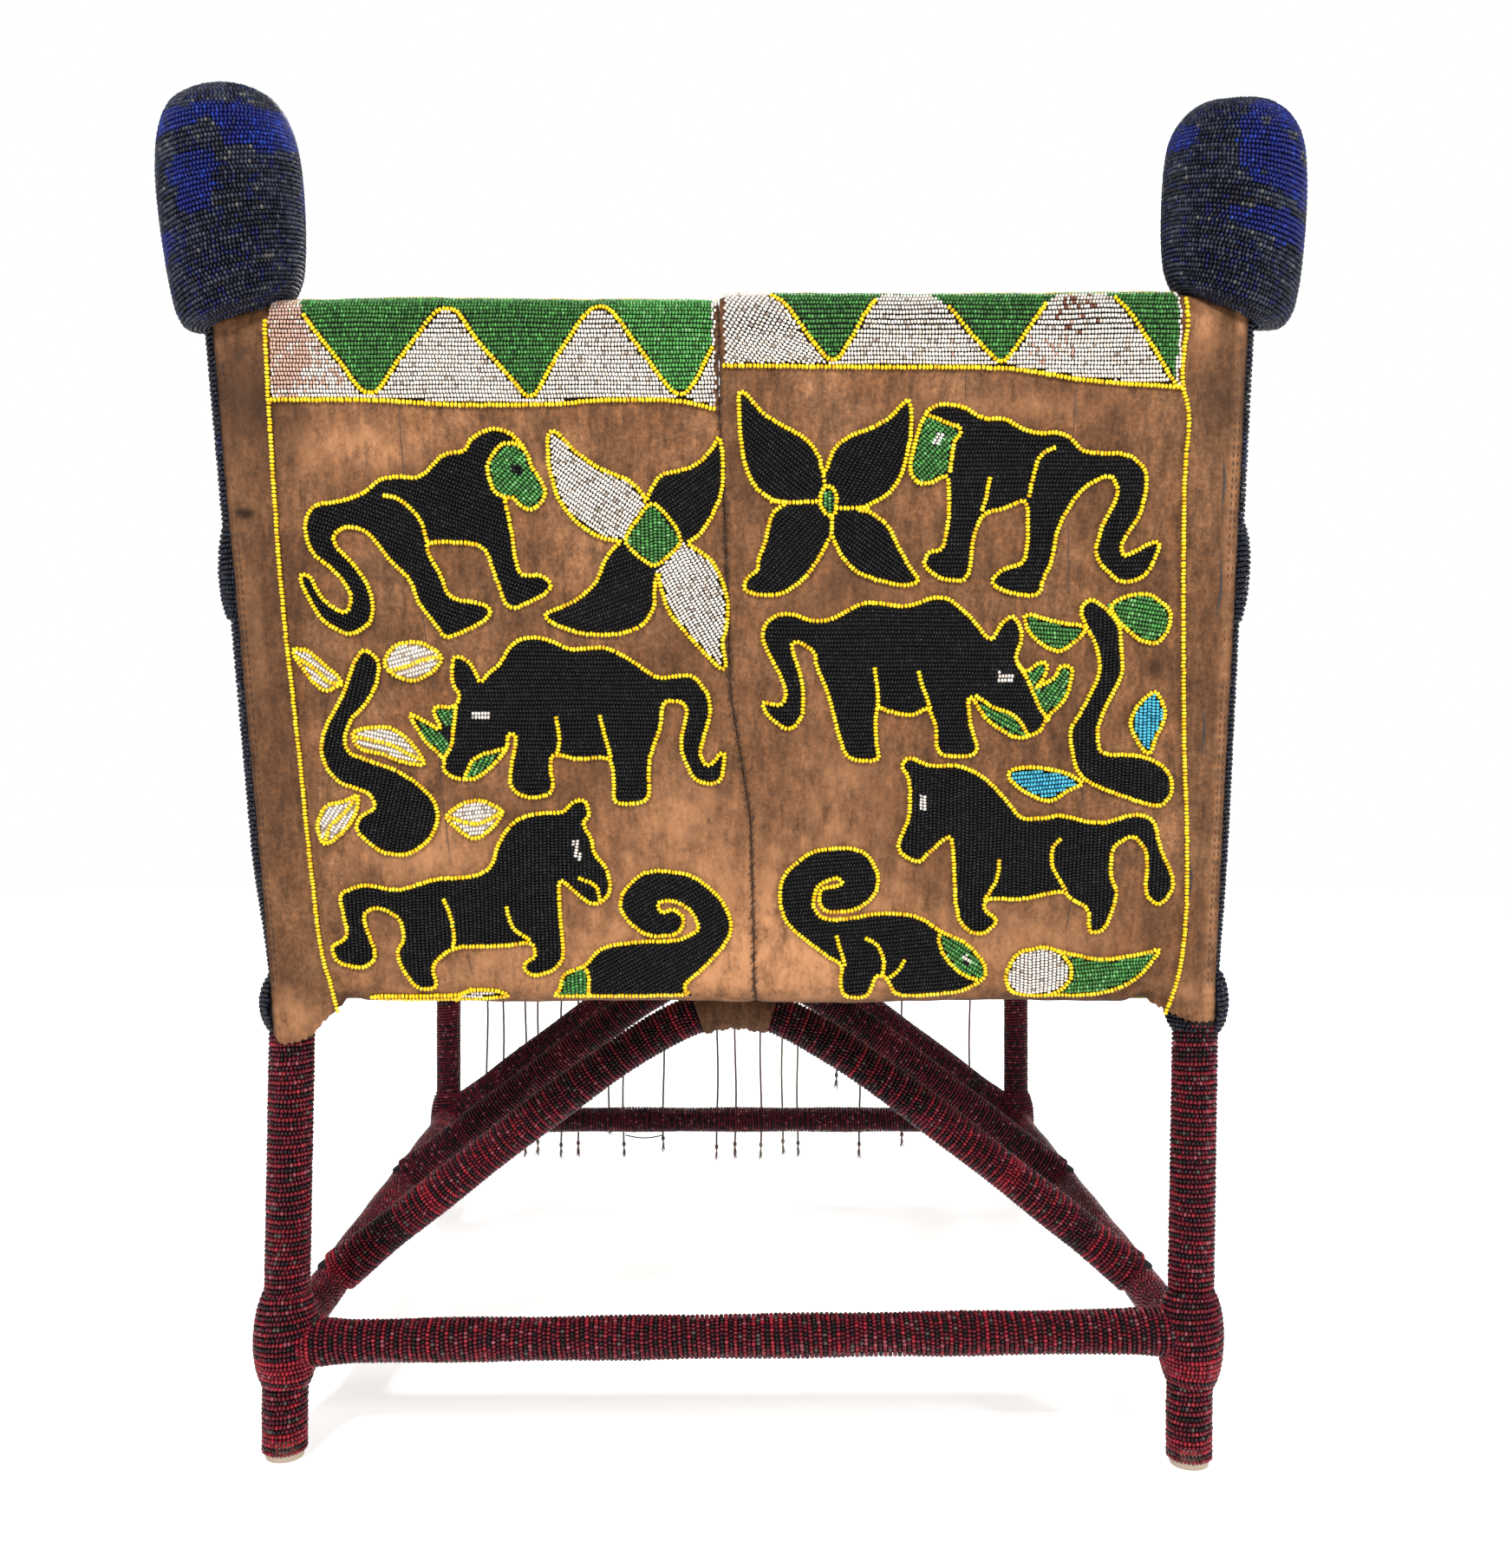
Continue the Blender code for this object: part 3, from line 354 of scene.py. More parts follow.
def barrel():
    """A bead of unit length and radius along X: a small barrel with a five-sided ring near each end."""
    turn = np.arange(5) * 2 * math.pi / 5
    rings = [
        np.column_stack((np.full(5, x), 0.97 * np.cos(turn + shift), 0.97 * np.sin(turn + shift)))
        for x, shift in ((-0.26, 0), (0.26, math.pi / 5))
    ]
    points = np.vstack(([(-0.5, 0, 0)], *rings, [(0.5, 0, 0)]))
    faces = []
    for i in range(5):
        j = (i + 1) % 5
        faces += [(0, 1 + j, 1 + i), (11, 6 + i, 6 + j), (1 + i, 1 + j, 6 + i), (1 + j, 6 + j, 6 + i)]
    return points, np.array(faces)


BARREL_POINTS, BARREL_FACES = barrel()


def tube_faces(count, sides):
    """Triangles of a tube of count rings, with the middles of its two ends as its last points."""
    here = np.arange(sides)
    beside = (here + 1) % sides
    base = np.arange(count - 1)[:, None] * sides
    a, b, c, d = base + here, base + beside, base + sides + beside, base + sides + here
    walls = np.stack((a, b, c, a, c, d), axis=-1).reshape(-1, 3)
    first, last = np.full(sides, count * sides), (count - 1) * sides
    ends = np.stack((first, beside, here, first + 1, last + here, last + beside), axis=-1).reshape(-1, 3)
    return np.vstack((walls, ends))


class Beads:
    """A growing batch of beads, with the tubes or sheets under them, that becomes one object."""

    def __init__(self):
        self.points, self.faces, self.slots = [], [], []
        self.count = 0

    def add(self, points, faces, slots):
        self.points.append(points)
        self.faces.append(faces + self.count)
        self.slots.append(slots)
        self.count += len(points)

    def string(self, centres, along, out, length, radius, colours):
        """Beads at centres, threaded along one direction, with their tops facing out."""
        along = along / np.linalg.norm(along, axis=1, keepdims=True)
        across = np.cross(out, along)
        across /= np.linalg.norm(across, axis=1, keepdims=True)
        up = np.cross(along, across)
        count = len(centres)
        long = length * RANDOM.uniform(0.94, 1.03, (count, 1))
        wide = radius * RANDOM.uniform(0.93, 1.04, (count, 1))
        base = BARREL_POINTS
        points = centres[:, None, :] + (
            base[None, :, 0:1] * (long * along)[:, None, :]
            + base[None, :, 1:2] * (wide * up)[:, None, :]
            + base[None, :, 2:3] * (wide * across)[:, None, :]
        )
        shift = np.arange(count)[:, None, None] * len(base)
        faces = (BARREL_FACES[None] + shift).reshape(-1, 3)
        self.add(points.reshape(-1, 3), faces, np.repeat(colours, len(BARREL_FACES)))

    def tube(self, points, radii, colours, sides=14):
        """A closed tube under the beads; colours is one bead colour for each stretch."""
        points = np.asarray(points, float)
        ring_at = np.arange(sides) * 2 * math.pi / sides
        first, second = frames(points)
        rings = points[:, None] + np.asarray(radii, float)[:, None, None] * (
            np.cos(ring_at)[None, :, None] * first[:, None] + np.sin(ring_at)[None, :, None] * second[:, None]
        )
        corners = np.vstack((rings.reshape(-1, 3), points[:1], points[-1:]))
        walls, ends = np.repeat(colours[:-1], 2 * sides), np.tile((colours[0], colours[-1]), sides)
        self.add(corners, tube_faces(len(points), sides), np.concatenate((walls, ends)))

    def joined(self):
        """All the points, faces and slots so far."""
        return np.vstack(self.points), np.vstack(self.faces), np.concatenate(self.slots)

    def finish(self, name, slot, extra=False):
        """Makes a piece of the batch, which stands for the node of that name unless it is extra."""
        points, faces, slots = self.joined()
        used, places = np.unique(slots, return_inverse=True)
        obj = add_mesh(name + "_beads", points, faces, [BEAD_MATERIALS[i] for i in used], places)
        dress(obj, CHAIR, () if extra else (name,), slot)


def dress(obj, body, replaced=(), slot=None):
    """Rides a finished piece on its body and hides the frame nodes that it stands for."""
    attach(obj, body)
    if replaced:
        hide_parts(*replaced)
    return obj


def frames(points):
    """Two directions across a path at each of its points, which turn as little as they can."""
    steps = np.diff(points, axis=0)
    steps /= np.linalg.norm(steps, axis=1, keepdims=True)
    tangents = np.vstack((steps[:1], steps[:-1] + steps[1:], steps[-1:]))
    tangents /= np.linalg.norm(tangents, axis=1, keepdims=True)
    guide = np.array((0.0, 1.0, 0.0)) if abs(tangents[0][1]) < 0.8 else np.array((1.0, 0.0, 0.0))
    first = np.empty_like(tangents)
    for i, tangent in enumerate(tangents):
        guide = guide - tangent * guide.dot(tangent)
        guide /= np.linalg.norm(guide)
        first[i] = guide
    return first, np.cross(tangents, first)


def lengths(points):
    """Distance along a path to each of its points."""
    return np.concatenate(([0.0], np.cumsum(np.linalg.norm(np.diff(points, axis=0), axis=1))))


def read_path(points, values, at):
    """values, given at the path's points, read off at distances along it."""
    run = lengths(points)
    return np.column_stack([np.interp(at, run, values[:, i]) for i in range(values.shape[1])])


def resampled(points, step):
    points = np.asarray(points, float)
    total = lengths(points)[-1]
    at = np.linspace(0, total, max(2, round(total / step) + 1))
    return read_path(points, points, at)


# ---------------------------------------------------------------- wound poles


# The next functions give a wound row's colours from its number, its distance along the pole and its count.
# Other beads come up where noise along the pole is above these.
BRIGHT_ABOVE, RED_ABOVE = 0.36, 0.45
PLAIN_ABOVE, BLUE_ABOVE = 0.25, 0.25


def banded(k, s, count):
    """Red and dark rows in turn, with short bright stretches."""
    lively = noise.noise((s * 38, 0.0, 0))
    if k % 2 == 0:
        return picks("bright" if lively > BRIGHT_ABOVE else "red", count)
    return picks("red" if lively > RED_ABOVE else "dark", count)


def painted_shade_rows(k, s, count):
    """Painted shade: maroon rows and dark rows in turn, with stretches of plain maroon, darker than the red
    rows, for the parts in the shade under the seat.
    """
    plain = k % 2 == 0 or noise.noise((s * 25, 2.0, 0)) > PLAIN_ABOVE
    return picks("maroon" if plain else "dark", count)


def night(k, s, count):
    """Near-black and dark blue rows."""
    return picks("dusk" if noise.noise((s * 30, 4.0, 0)) > BLUE_ABOVE else "navy", count)


def wind(beads, points, radius_at, colours_at, start=0.0, end=0.0, waver=0.0004, hidden=None):
    """Rows of beads wound round the path, on a dark core.

    radius_at gives the outer radius by distance along it, and hidden says which beads are left out.
    """
    points = resampled(points, PATH_STEP)
    first, second = frames(points)
    total = lengths(points)[-1]
    rows = np.arange(start + ROW_PITCH / 2, total - end, ROW_PITCH)
    for k, s in enumerate(rows):
        reach = radius_at(s) - BEAD_R
        count = max(8, round(2 * math.pi * reach / BEAD_STEP))
        share = (np.arange(count) + RANDOM.random()) / count
        angle = share * 2 * math.pi
        lean = waver * np.sin(angle + s * 90) + RANDOM.normal(0, 0.00010, count)
        at = np.clip(s + (share - 0.5) * ROW_PITCH + lean, 0, total)
        centre = read_path(points, points, at)
        one, two = read_path(points, first, at), read_path(points, second, at)
        cos, sin = np.cos(angle)[:, None], np.sin(angle)[:, None]
        out = one * cos + two * sin
        centre = centre + out * (reach + RANDOM.normal(0, 0.00010, (count, 1)))
        along = two * cos - one * sin
        colours = colours_at(k, s, count)
        if hidden is not None:
            shown = ~hidden(centre)
            centre, along, out, colours = centre[shown], along[shown], out[shown], colours[shown]
        beads.string(centre, along, out, BEAD_STEP, BEAD_R, colours)
    widest = math.inf if hidden is None else CLOTH_IN - CLOTH_GAP
    core = [min(radius_at(s) - CORE_DEPTH, widest) for s in lengths(points)]
    # The pale cotton under the beads shows at the very foot of a leg.
    shades = ["cotton" if point[2] < COTTON_Z else "core" for point in points]
    beads.tube(points, core, [BEAD_NAMES.index(shade) for shade in shades])


def constant(radius):
    return lambda s: radius


def collared(radius, total, swell, reach=0.045):
    """A pole's radius, thicker where the wrapping builds up near both its ends."""

    def radius_at(s):
        near = min(s, total - s)
        return radius + swell * (1 - smooth(near / reach)) + 0.0003 * math.sin(s * 61 + radius * 9000)

    return radius_at


def smooth(t):
    t = min(1.0, max(0.0, t))
    return t * t * (3 - 2 * t)


def back_point(x, up, out):
    """A point from its place across the chair, up the leaning back, and out to the rear of the posts."""
    return (
        x,
        REAR_Y - up * math.sin(RECLINE) - out * math.cos(RECLINE),
        SEAT_Z + up * math.cos(RECLINE) - out * math.sin(RECLINE),
    )


def post_x(side, up):
    """Where a rear post's axis is across the chair, by distance up the back."""
    top = LEFT_TOP_X if side < 0 else RIGHT_TOP_X
    return side * REAR_X + (top - side * REAR_X) * up / POST_TOP


def strung_out(side, up):
    """How far the strings' build-up beside the cloth sets a wound post out, by distance up the back."""
    return np.array((side * BUILT_OUT[side], BUILT_FORE, 0.0)) * smooth(up / BUILT_UP)


def leg_point(side, z):
    """On a rear leg's axis, which slants from over its foot to the seat."""
    foot_x, foot_y = FEET[side]
    share = max(0.0, (z - FOOT_STRAIGHT) / (SEAT_Z - FOOT_STRAIGHT))
    return (foot_x + (side * REAR_X - foot_x) * share, foot_y + (REAR_Y - foot_y) * share, z)


def leg_colours(change, below=banded, shade_span=0.020):
    """Rows of one kind up to a length along the pole, darker ones just under it as painted shade under the
    seat, and dark blue above it.
    """

    def colours(k, s, count):
        if s > change:
            return night(k, s, count)
        # Just under the change most rows are dark: painted shade under the seat.
        if s > change - shade_span and k % 4:
            return picks("dark", count)
        return below(k, s, count)

    return colours


def posts_and_legs(floor_gap=0.0008, bare=0.004):
    """The rear posts from foot to finial, and the front legs from foot to armrest."""
    for side, name in ((-1, "rear_left_post"), (1, "rear_right_post")):
        foot_x, foot_y = FEET[side]
        levels = np.linspace(0.01, POST_TOP, 40)
        points = [
            (foot_x, foot_y, floor_gap),
            (foot_x, foot_y, FOOT_STRAIGHT),
            (side * REAR_X, REAR_Y, SEAT_Z),
            *(back_point(post_x(side, up), up, 0) + strung_out(side, up) for up in levels),
        ]
        beads = Beads()
        wind(beads, points, constant(POST_R), leg_colours(POST_CHANGE), start=bare)
        beads.finish(name, "post_beads")
    for x, name in ((FRONT_LEFT_X, "front_left_leg"), (FRONT_RIGHT_X, "front_right_leg")):
        beads = Beads()
        points = [(x, FRONT_Y, floor_gap), (x, FRONT_Y, ARM_Z - 0.005)]
        # Below the change the front legs take rows of painted shade under the seat.
        wind(beads, points, constant(LEG_R), leg_colours(LEG_CHANGE, painted_shade_rows), start=bare)
        beads.finish(name, "red_beads")


def stretchers_and_rails():
    """The four stretchers near the floor and the four rails round the seat."""
    left_low, right_low = leg_point(-1, STRETCHER_Z), leg_point(1, STRETCHER_Z)
    front_left, front_right = (FRONT_LEFT_X, FRONT_Y), (FRONT_RIGHT_X, FRONT_Y)
    left_rail, right_rail = back_point(-REAR_X, FOLD_UP, 0), back_point(REAR_X, FOLD_UP, 0)
    low = (
        ("rear_stretcher", left_low, leg_point(1, STRETCHER_Z + 0.010), REAR_STRETCHER_R, banded),
        # The front stretcher takes rows of painted shade under the seat.
        ("front_stretcher", (*front_left, STRETCHER_Z), (*front_right, STRETCHER_Z), STRETCHER_R, painted_shade_rows),
        ("left_stretcher", left_low, (*front_left, STRETCHER_Z - 0.001), STRETCHER_R, banded),
        ("right_stretcher", right_low, (*front_right, STRETCHER_Z - 0.001), STRETCHER_R, banded),
    )
    high = (
        ("rear_seat_rail", left_rail, right_rail, RAIL_R, night),
        ("front_seat_rail", (*front_left, RAIL_Z), (*front_right, RAIL_Z), RAIL_R, night),
        ("left_seat_rail", left_rail, (*front_left, RAIL_Z), RAIL_R, night),
        ("right_seat_rail", right_rail, (*front_right, RAIL_Z), RAIL_R, night),
    )
    for group, slot, swell in ((low, "red_beads", 0.0028), (high, "navy_beads", 0.0)):
        for name, start, end, radius, colours in group:
            beads = Beads()
            along = collared(radius, math.dist(start, end), swell)
            wind(beads, [start, end], along, colours, CUT_BACK, CUT_BACK)
            beads.finish(name, slot)


def side_stretcher_x(side, y):
    """Where a side stretcher is across the chair, by depth."""
    rear_x, rear_y, _ = leg_point(side, STRETCHER_Z)
    front_x = FRONT_LEFT_X if side < 0 else FRONT_RIGHT_X
    return rear_x + (front_x - rear_x) * (y - rear_y) / (FRONT_Y - rear_y)


def arch_points(y, steps=40):
    """An arched brace's axis from stretcher to stretcher: two straight slopes with a bend at the top."""
    left, right = side_stretcher_x(-1, y), side_stretcher_x(1, y)
    middle, half = (left + right) / 2, (right - left) / 2
    full_drop = ARCH_SLOPE * (math.hypot(half, ARCH_BEND) - ARCH_BEND)
    scale = (ARCH_APEX_Z - STRETCHER_Z - 0.002) / full_drop
    points = []
    for step in range(-steps, steps + 1):
        across = half * math.copysign(abs(step / steps) ** 1.5, step)
        drop = ARCH_SLOPE * (math.hypot(across, ARCH_BEND) - ARCH_BEND) * scale
        points.append((middle + across, y, ARCH_APEX_Z - drop))
    return np.array(points)


def arches(band=0.055, band_half=0.007, shade_span=0.15):
    """The arched braces, with a dark band a little way from each foot and, as painted shade under the seat, a
    dark row in every four near the top.
    """
    for name, y in ARCH_YS.items():
        points = arch_points(y)
        total = lengths(points)[-1]
        # The middle and front arches take rows of painted shade under the seat; the rear arch keeps its own
        # red and dark rows.
        rows = banded if name == "rear_arch" else painted_shade_rows

        def colours(k, s, count, middle=total / 2, rows=rows):
            from_top = abs(s - middle)
            banding = abs(from_top - middle + band) < band_half
            # Near the top every fourth row is dark: painted shade under the seat.
            if banding or (from_top < shade_span and k % 4 == 0):
                return picks("dark", count)
            return rows(k, s, count)

        beads = Beads()
        wind(beads, points, collared(ARCH_R, total, 0.0022, 0.06), colours, 0.008, 0.008)
        beads.finish(name, "red_beads")


def arms(cap=0.012):
    """The armrests, from the rear posts over the front legs to a rounded front end."""
    up = (ARM_Z - SEAT_Z) / math.cos(RECLINE)
    for side, name, x in ((-1, "left_arm", FRONT_LEFT_X), (1, "right_arm", FRONT_RIGHT_X)):
        start = back_point(post_x(side, up), up, 0)
        end = np.array((x, FRONT_Y + LEG_R, ARM_Z))
        points = np.array([start, (x, FRONT_Y - 0.03, ARM_Z), end])
        total = lengths(points)[-1]

        def radius_at(s, total=total):
            left = max(0.0, total - s)
            return RAIL_R * math.sqrt(max(0.12, 1 - max(0.0, 1 - left / cap) ** 2))

        beads = Beads()
        wind(beads, points, radius_at, night, CUT_BACK, 0.0)
        beads.finish(name, "navy_beads")


def under_cloth(side, slack=0.06):
    """Tells which beads of a lashing would stand in the cloth that is wrapped round the post."""

    def hidden(centres):
        up = (centres[:, 2] - SEAT_Z) * math.cos(RECLINE) - (centres[:, 1] - REAR_Y) * math.sin(RECLINE)
        out = -(centres[:, 1] - REAR_Y) * math.cos(RECLINE) - (centres[:, 2] - SEAT_Z) * math.sin(RECLINE)
        out = np.where(up < 0, REAR_Y - centres[:, 1], out)
        middle = np.array([post_x(side, max(0.0, value)) for value in up])
        outward = side * (centres[:, 0] - middle)
        wrapped = (outward > 0) & (np.arctan2(outward, out) < HEM_ANGLE[side] + slack)
        beyond = np.where(wrapped, np.hypot(outward, out), out) > CLOTH_IN - 1.2 * BEAD_R
        return beyond & (wrapped | (outward <= 0)) & (out > 0)

    return hidden


def lashings():
    """Bead strings built up over the joints."""
    for side, word in ((-1, "left"), (1, "right")):
        rear_z = STRETCHER_Z + (0.003 if side < 0 else 0.007)
        front_x = FRONT_LEFT_X if side < 0 else FRONT_RIGHT_X
        front = (front_x, FRONT_Y, STRETCHER_Z)
        seat_joint = leg_point(side, 0.283)
        upright, post_axis = (0, 0, 1), (0, -math.sin(RECLINE), math.cos(RECLINE))
        arm_up = 0.251
        arm = back_point(post_x(side, arm_up), arm_up, 0) + strung_out(side, arm_up)
        covered = under_cloth(side)
        places = (  # name, middle, axis, pole's radius, half length, swell, colours, what hides its beads
            (f"rear_{word}_lashing", leg_point(side, rear_z), upright, POST_R, 0.028, 0.0055, banded, None),
            # The front lashings take rows of painted shade under the seat.
            (f"front_{word}_lashing", front, upright, LEG_R, 0.028, 0.0055, painted_shade_rows, None),
            (f"{word}_seat_lashing", seat_joint, upright, POST_R, 0.018, 0.0055, night, covered),
            (f"{word}_arm_lashing", arm, post_axis, POST_R, 0.028, 0.0040, night, covered),
        )
        for name, centre, axis, radius, half, swell, colours, hidden in places:
            centre, axis = np.array(centre), np.array(axis)
            points = [centre - axis * half, centre + axis * half]

            def radius_at(s, half=half, radius=radius, swell=swell):
                across = (s - half) / half
                return radius + 0.0006 + swell * max(0.0, 1 - across * across) ** 0.8

            beads = Beads()
            wind(beads, points, radius_at, colours, waver=0.0012, hidden=hidden)
            slot = "red_beads" if hidden is None else "navy_beads"
            beads.finish(name, slot)


# ---------------------------------------------------------------- finials

FINIALS = (  # name, side, distance up the back, height, slope of its lower edge
    ("left_finial", -1, 0.3960, 0.1250, 0.33),
    ("right_finial", 1, 0.3985, 0.1150, 0.38),
)
FINIAL_TALLER, FINIAL_IN = 0.0024, {-1: 0.0037, 1: 0.0}
FINIAL_PROFILE = np.array(  # radius, share of the height
    (
        (0.0178, -0.015),
        (0.0240, 0.00),
        (0.0325, 0.03),
        (0.0370, 0.11),
        (0.0393, 0.25),
        (0.0404, 0.43),
        (0.0404, 0.62),
        (0.0385, 0.77),
        (0.0350, 0.86),
        (0.0285, 0.935),
        (0.0180, 0.985),
        (0.0015, 1.00),
    )
)
FINIAL_PITCH, FINIAL_STEP = 0.00265, 0.00215
# Patches of other beads: degrees round from the rear to the right, half width, height, half of that, and mix.
FINIAL_PATCHES = {
    "left_finial": (
        (-20, 12, 0.77, 0.015, "grey"),
        (-45, 22, 0.63, 0.040, "grey"),
        (0, 9, 0.66, 0.040, "grey"),
        (25, 15, 0.57, 0.030, "grey"),
        (82, 24, 0.68, 0.080, "azure"),
        (50, 40, 0.66, 0.080, "cobalt"),
        (0, 110, 0.72, 0.040, "cobalt"),
        (-12, 28, 0.55, 0.050, "cobalt"),
        (-12, 16, 0.47, 0.070, "cobalt"),
        (-62, 24, 0.35, 0.050, "cobalt"),
        (150, 60, 0.45, 0.140, "cobalt"),
        (190, 40, 0.72, 0.080, "azure"),
    ),
    "right_finial": (
        (10, 6, 0.73, 0.015, "grey"),
        (40, 8, 0.69, 0.020, "grey"),
        (56, 8, 0.63, 0.020, "grey"),
        (20, 28, 0.46, 0.022, "grey"),
        (38, 56, 0.66, 0.190, "cobalt"),
        (28, 50, 0.39, 0.050, "cobalt"),
        (-72, 22, 0.68, 0.060, "cobalt"),
        (160, 60, 0.55, 0.140, "cobalt"),
        (215, 30, 0.30, 0.080, "azure"),
    ),
}


def finial_colours(name, angle, share):
    """Dark blue beads with ragged patches of cobalt and grey ones."""
    rearward = np.degrees(np.arctan2(np.cos(angle), -np.sin(angle)))
    chosen = np.full(len(angle), -1)
    for place, wide, level, tall, mix in FINIAL_PATCHES[name]:
        apart = (rearward - place + 180) % 360 - 180
        ragged = np.array([noise.noise((a * 0.07, share * 26, level * 9)) for a in rearward])
        found = ((apart / wide) ** 2 + ((share - level) / tall) ** 2 < 1 + 0.6 * ragged) & (chosen < 0)
        chosen[found] = picks(mix, found.sum())
    rest = chosen < 0
    chosen[rest] = picks("dusk", rest.sum())
    runs = np.array([noise.noise((a * 0.035, share * 60, 3)) for a in rearward])
    for mix, found in (("grey", rest & (runs > 0.22)), ("navy", rest & (runs < -0.22))):
        chosen[found] = picks(mix, found.sum())
    return chosen


def finials():
    """The finials: rows of beads round and over a padded core."""
    for name, side, up, height, slope in FINIALS:
        height += FINIAL_TALLER
        profile = rounded(FINIAL_PROFILE * (1, height) / MM, False) * MM
        foot = np.array(back_point(post_x(side, up), up, 0))
        top = np.array(back_point(post_x(side, POST_TOP), POST_TOP, 0))
        axis = (top - foot) / np.linalg.norm(top - foot)
        foot[0] += FINIAL_IN[side]
        across = np.array((1.0, 0, 0)) - axis * axis[0]
        across /= np.linalg.norm(across)
        fore = np.cross(across, -axis)

        def place(radius, level, angle):
            """On the finial, turned about its axis from +X to the front; the lower edge rises inwards."""
            bulge = 1 + 0.012 * np.sin(angle * 2 + side) * np.sin(level * 60)
            bulge = bulge + 0.008 * np.sin(angle * 3 + level * 40)
            x = radius * bulge * np.cos(angle)
            y = radius * bulge * np.sin(angle)
            z = level - side * slope * x * (1 - level / height)
            return foot + x[:, None] * across + y[:, None] * fore + z[:, None] * axis

        beads = Beads()
        run = lengths(profile)
        for s in np.arange(FINIAL_PITCH / 2, run[-1] - FINIAL_PITCH / 3, FINIAL_PITCH):
            (radius, level), ahead = read_path(profile, profile, np.array([s, s + 0.0005]))
            tangent = (ahead - (radius, level)) / np.linalg.norm(ahead - (radius, level))
            normal = np.array((tangent[1], -tangent[0]))
            reach = radius - BEAD_R * normal[0]
            count = max(3, round(2 * math.pi * reach / FINIAL_STEP))
            angle = (np.arange(count) + RANDOM.random()) / count * 2 * math.pi
            wave = level - BEAD_R * normal[1] + 0.0004 * np.sin(angle * 2 + s * 150)
            wave += RANDOM.normal(0, 0.0001, count)
            centre = place(np.full(count, reach), wave, angle)
            after = place(np.full(count, reach), wave, angle + 0.01)
            spoke = np.cos(angle)[:, None] * across + np.sin(angle)[:, None] * fore
            out = normal[0] * spoke + normal[1] * axis
            colours = finial_colours(name, angle, s / run[-1])
            beads.string(centre, after - centre, out, FINIAL_STEP, FINIAL_PITCH * 0.51, colours)
        core = profile.copy()
        core[:, 0] = np.maximum(core[:, 0] - 1.9 * BEAD_R, 0.0005)
        core[:, 1] = np.clip(core[:, 1], 0.0, height - 1.9 * BEAD_R)
        core[-2, 1] -= 1.2 * BEAD_R
        padding(beads, core[1:], place)
        beads.finish(name, "blue_beads")


def padding(beads, profile, place, sides=28):
    """The finial's padded core: the profile turned, closed at both ends."""
    angle = np.arange(sides) * 2 * math.pi / sides
    rings = [place(np.full(sides, radius), np.full(sides, height), angle) for radius, height in profile]
    ends = [place(np.zeros(1), np.array([profile[i][1]]), np.zeros(1)) for i in (0, -1)]
    faces = tube_faces(len(profile), sides)
    beads.add(np.vstack((*rings, *ends)), faces, np.full(len(faces), BEAD_NAMES.index("core")))


# ---------------------------------------------------------------- the back's surface

SEAM = np.array(  # up, across
    ((-20, 7.5), (5, 6), (25, 6), (105, 4), (181, -8), (281, -11), (344, -14), (410, -14)), float
)
SEAM_TOP = 0.400
STUFFING = {"left": 0.0020, "right": 0.0047}


def seam_x(up):
    """Where the seam down the middle is, by distance up the back."""
    return np.interp(up / MM, SEAM[:, 0], SEAM[:, 1]) * MM


def puff(x, up):
    """How far the stretched cloth stands off its plane: gentle waves, drawn down along the seam."""
    wave = (
        0.0005 * np.sin(x * 31 + 1.3 * np.sin(up * 17))
        + 0.0004 * np.sin(up * 37 + 2.1 * np.sin(x * 19 + 1))
        + 0.00035 * np.sin(x * 95 + 2.2 * np.sin(up * 43)) * np.sin(up * 88 + 1.7 * np.sin(x * 37))
        + 0.00010 * np.sin(x * 260 + 3 * np.sin(up * 120))
    )
    drawn = 0.0016 * np.exp(-np.abs(x - seam_x(up)) / 0.0028)
    return wave - drawn


def stuffing(x):
    """How much thicker the top fold is than the rail in it, for each radian that the cloth has turned."""
    return np.where(x < seam_x(SEAM_TOP), STUFFING["left"], STUFFING["right"])


def on_back(x, up, lift=0.0):
    """Points on the cloth's rear surface, raised by lift, and the surface's outward and upward directions.

    Above the top rail's middle, and below the seat rail's, the surface turns over the rail.
    """
    x, up = np.broadcast_arrays(np.asarray(x, float), np.asarray(up, float))
    over = np.maximum(0, up - TOP_RAIL_UP) / CLOTH_OUT - np.maximum(0, FOLD_UP - up) / CLOTH_OUT
    flat_up = np.clip(up, FOLD_UP, TOP_RAIL_UP)
    reach = CLOTH_OUT + puff(x, up) + lift + stuffing(x) * np.clip(over, 0, 1.2)
    height = flat_up + reach * np.sin(over)
    out = reach * np.cos(over)
    place = plane_points(x, height, out)
    outward = plane_points(0, np.sin(over), np.cos(over), origin=False)
    upward = plane_points(0, np.cos(over), -np.sin(over), origin=False)
    return place, outward, upward


def plane_points(x, up, out, origin=True):
    """Points from their places across, up and out of the back's plane; without origin, directions."""
    x, up, out = np.broadcast_arrays(np.asarray(x, float), up, out)
    y = -up * math.sin(RECLINE) - out * math.cos(RECLINE)
    z = up * math.cos(RECLINE) - out * math.sin(RECLINE)
    if origin:
        y, z = y + REAR_Y, z + SEAT_Z
    return np.stack((x, y, z), axis=-1)


def single_edges(loops):
    """The edges that only one of the loops has, in its own direction."""
    edges = {}
    for loop in loops:
        for a, b in zip(loop, [*loop[1:], *loop[:1]]):
            if (b, a) in edges:
                del edges[(b, a)]
            else:
                edges[(a, b)] = True
    return edges


